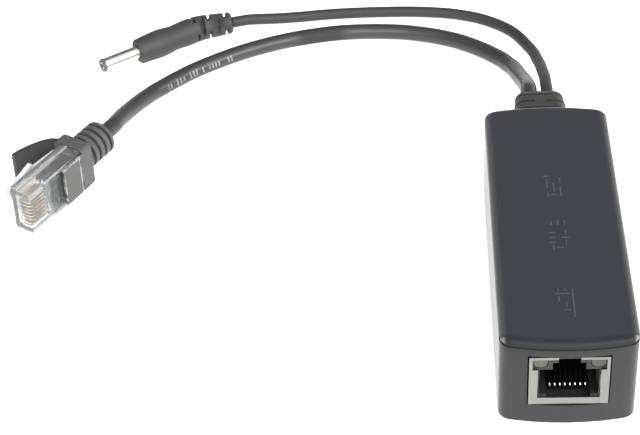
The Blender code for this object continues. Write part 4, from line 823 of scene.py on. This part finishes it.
# %% Network lead
network_lead_radius = 2.05 * mm
network_route = [
    (-0.00215, 0.0565, 0.0115), (-0.00215, 0.0605, 0.0115), (-0.0022, 0.0638, 0.0105),
    (-0.0024, 0.0675, 0.0089), (-0.0028, 0.0714, 0.0073), (-0.0033, 0.0750, 0.0058),
    (-0.0039, 0.0788, 0.0045), (-0.0046, 0.0823, 0.0034), (-0.0059, 0.0855, 0.0026),
    (-0.0076, 0.0885, 0.0022), (-0.0124, 0.0932, 0.0021), (-0.0178, 0.0970, 0.0021),
    (-0.0230, 0.0995, 0.0021), (-0.0285, 0.1013, 0.0021), (-0.0340, 0.1025, 0.0021),
    (-0.0420, 0.1031, 0.0021), (-0.0500, 0.1028, 0.0021), (-0.0577, 0.1014, 0.0021),
    (-0.0656, 0.0991, 0.0021), (-0.0735, 0.0957, 0.0021), (-0.0811, 0.0913, 0.0021),
    (-0.0887, 0.0857, 0.0021), (-0.0957, 0.0787, 0.0022), (-0.0980, 0.0756, 0.0025),
    (-0.1001, 0.0718, 0.0031), (-0.1020, 0.0674, 0.0039), (-0.1036, 0.0626, 0.0050),
    (-0.10486, 0.05760, 0.00608), (-0.10686, 0.05414, 0.00608)]
network_lead, network_length = lead("network_lead", "network_cable", network_route, network_lead_radius,
                                    network_jacket)

# %% [markdown]
# The power lead carries the power to the device and ends in the barrel plug. It is thinner, and lies
# outside the network lead all the way. It is made in the same way, for the same reason.

# %% Power lead
power_lead_radius = 1.45 * mm
power_route = [
    (0.0023, 0.0565, 0.0115), (0.0023, 0.0605, 0.0115), (0.0023, 0.0656, 0.0105),
    (0.0024, 0.0702, 0.0091), (0.0022, 0.0751, 0.0075), (0.0020, 0.0801, 0.0059),
    (0.0015, 0.0852, 0.0043), (0.0010, 0.0900, 0.0029), (-0.0001, 0.0946, 0.0018),
    (-0.0016, 0.0983, 0.0015), (-0.0039, 0.1021, 0.0015), (-0.0074, 0.1056, 0.0015),
    (-0.0121, 0.1088, 0.0015), (-0.0175, 0.1110, 0.0015), (-0.0230, 0.1123, 0.0015),
    (-0.0310, 0.1132, 0.0015), (-0.0390, 0.1134, 0.0015), (-0.0470, 0.1133, 0.0015),
    (-0.0545, 0.1128, 0.0015), (-0.0609, 0.1119, 0.0016), (-0.0662, 0.1107, 0.0021),
    (-0.0712, 0.1095, 0.0028), (-0.07487, 0.10789, 0.0037), (-0.07873, 0.10686, 0.0037)]
power_lead, power_length = lead("power_lead", "power_cable", power_route, power_lead_radius, power_jacket)

# %% [markdown]
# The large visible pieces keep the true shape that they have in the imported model. Its mesh is loose
# triangles, and smooth shading needs faces that share their corners. So a copy is merged, and its flat
# faces are made whole again. Edges sharper than forty degrees stay crisp, and weighted normals keep the
# large faces flat beside the rounded ones.

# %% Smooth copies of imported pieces
merge_distance, flat_angle, crisp_angle = 0.002 * mm, radians(1.0), radians(40.0)


def fine_copy(node, name, material):
    bm = bmesh.new()
    bm.from_mesh(nodes[node].data)
    bmesh.ops.remove_doubles(bm, verts=bm.verts, dist=merge_distance)
    bmesh.ops.dissolve_limit(bm, angle_limit=flat_angle, verts=bm.verts, edges=bm.edges, delimit={"NORMAL"})
    piece = mesh_object(name, bm)
    piece.data.materials.append(material)
    piece.data.shade_smooth()
    piece.data.set_sharp_from_angle(angle=crisp_angle)
    piece.modifiers.new("weighted_normals", "WEIGHTED_NORMAL").keep_sharp = True
    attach(piece, body)
    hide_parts(node)
    print(piece.name, "has", len(piece.data.polygons), "faces")
    return piece


fine_copy("base_shell", "lower_case", shade_darkened_case_plastic)
fine_copy("top_cover", "lid", lid_plastic)
fine_copy("strain_relief", "lead_moulding", relief_plastic)
fine_copy("jack_shield", "jack_frame", plated_sheet)
clear_plug = fine_copy("plug_housing", "clear_plug", clear_plastic)
boot = fine_copy("plug_boot", "boot", boot_plastic)
fine_copy("power_plug_handle", "barrel_plug_grip", grip_plastic)
fine_copy("power_plug_barrel", "barrel_sleeve", bright_nickel)

# %% [markdown]
# Two mouldings have more than one finish. The latch of the clear plug is a thin lever with a finely
# textured face, so it is frosted. In the plug's own frame the lever is simply everything above the body.
# The boot's flat sleeve is a shinier, streaky part between two places along X, and its hood stands over the
# latch and has the duller finish of the grip. A face takes a finish by where its centre lies, so neither
# moulding has to be cut apart.

# %% Frosted latch, shiny sleeve and dull hood
plug_thickness, latch_gap, hood_gap = 5.6 * mm, 0.1 * mm, 0.6 * mm
sleeve_start, sleeve_end, hood_end = 12.0 * mm, 18.9 * mm, 24.0 * mm
into_plug = (Matrix.Translation(plug_corner) @ Matrix.Rotation(plug_turn, 4, "Z")
             @ Matrix.Rotation(plug_lean, 4, "X")).inverted()


def latch_finish(spot):
    return 1 if spot.y > plug_thickness + latch_gap else 0


def boot_finish(spot):
    if spot.y > plug_thickness + hood_gap and spot.x < hood_end:
        return 2
    return 1 if sleeve_start < spot.x < sleeve_end else 0


for piece, choose, more in ((clear_plug, latch_finish, [frosted_plastic]),
                            (boot, boot_finish, [sleeve_plastic, grip_plastic])):
    for material in more:
        piece.data.materials.append(material)
    for face in piece.data.polygons:
        face.material_index = choose(into_plug @ face.center)
    counts = [0] * len(piece.data.materials)
    for face in piece.data.polygons:
        counts[face.material_index] += 1
    print(piece.name, "has this many faces in each finish:", counts)

# %% [markdown]
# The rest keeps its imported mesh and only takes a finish: the inside of the jack, the blades and wires of
# the plug, and the electronics on the board, which show only when the lid is off. These pieces are too
# small or too well hidden for a smoother copy to be seen.

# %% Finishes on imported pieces
carried = {
    jack_plastic: ["jack_body"],
    contact_metal_painted_dark: ["jack_contact_%d" % (i + 1) for i in range(8)],
    blade_gold: ["plug_contact_%d" % (i + 1) for i in range(8)],
    wire_cover: ["plug_wire_%d" % (i + 1) for i in range(8)],
    lens_olive: ["lamp_lens_left"],
    lens_grey: ["lamp_lens_right"],
    board_lacquer: ["circuit_board"],
    package_plastic: ["network_transformer", "bridge_rectifier_1", "bridge_rectifier_2", "controller_chip",
                      "output_diode"],
    tip_nylon: ["power_plug_insulator"],
    ferrite_ceramic: ["output_inductor", "transformer_core"],
    winding_tape: ["transformer_winding"],
    bobbin_nylon: ["transformer_bobbin"],
    can_sleeve: ["input_capacitor", "output_capacitor"],
    bright_nickel: ["power_plug_contact"],
}
for material, names in carried.items():
    for name in names:
        nodes[name].data.materials.clear()
        nodes[name].data.materials.append(material)
print("dressed packed pieces:", sum(len(names) for names in carried.values()))

# %% [markdown]
# A lead is a free cord. The pieces that hang on the network lead, and make up its plug, are listed here.

plug_pieces = ["clear_plug", "boot"] + ["plug_contact_%d" % (i + 1) for i in range(8)]
plug_pieces += ["plug_wire_%d" % (i + 1) for i in range(8)]
print("network plug is made of", len(plug_pieces), "pieces")
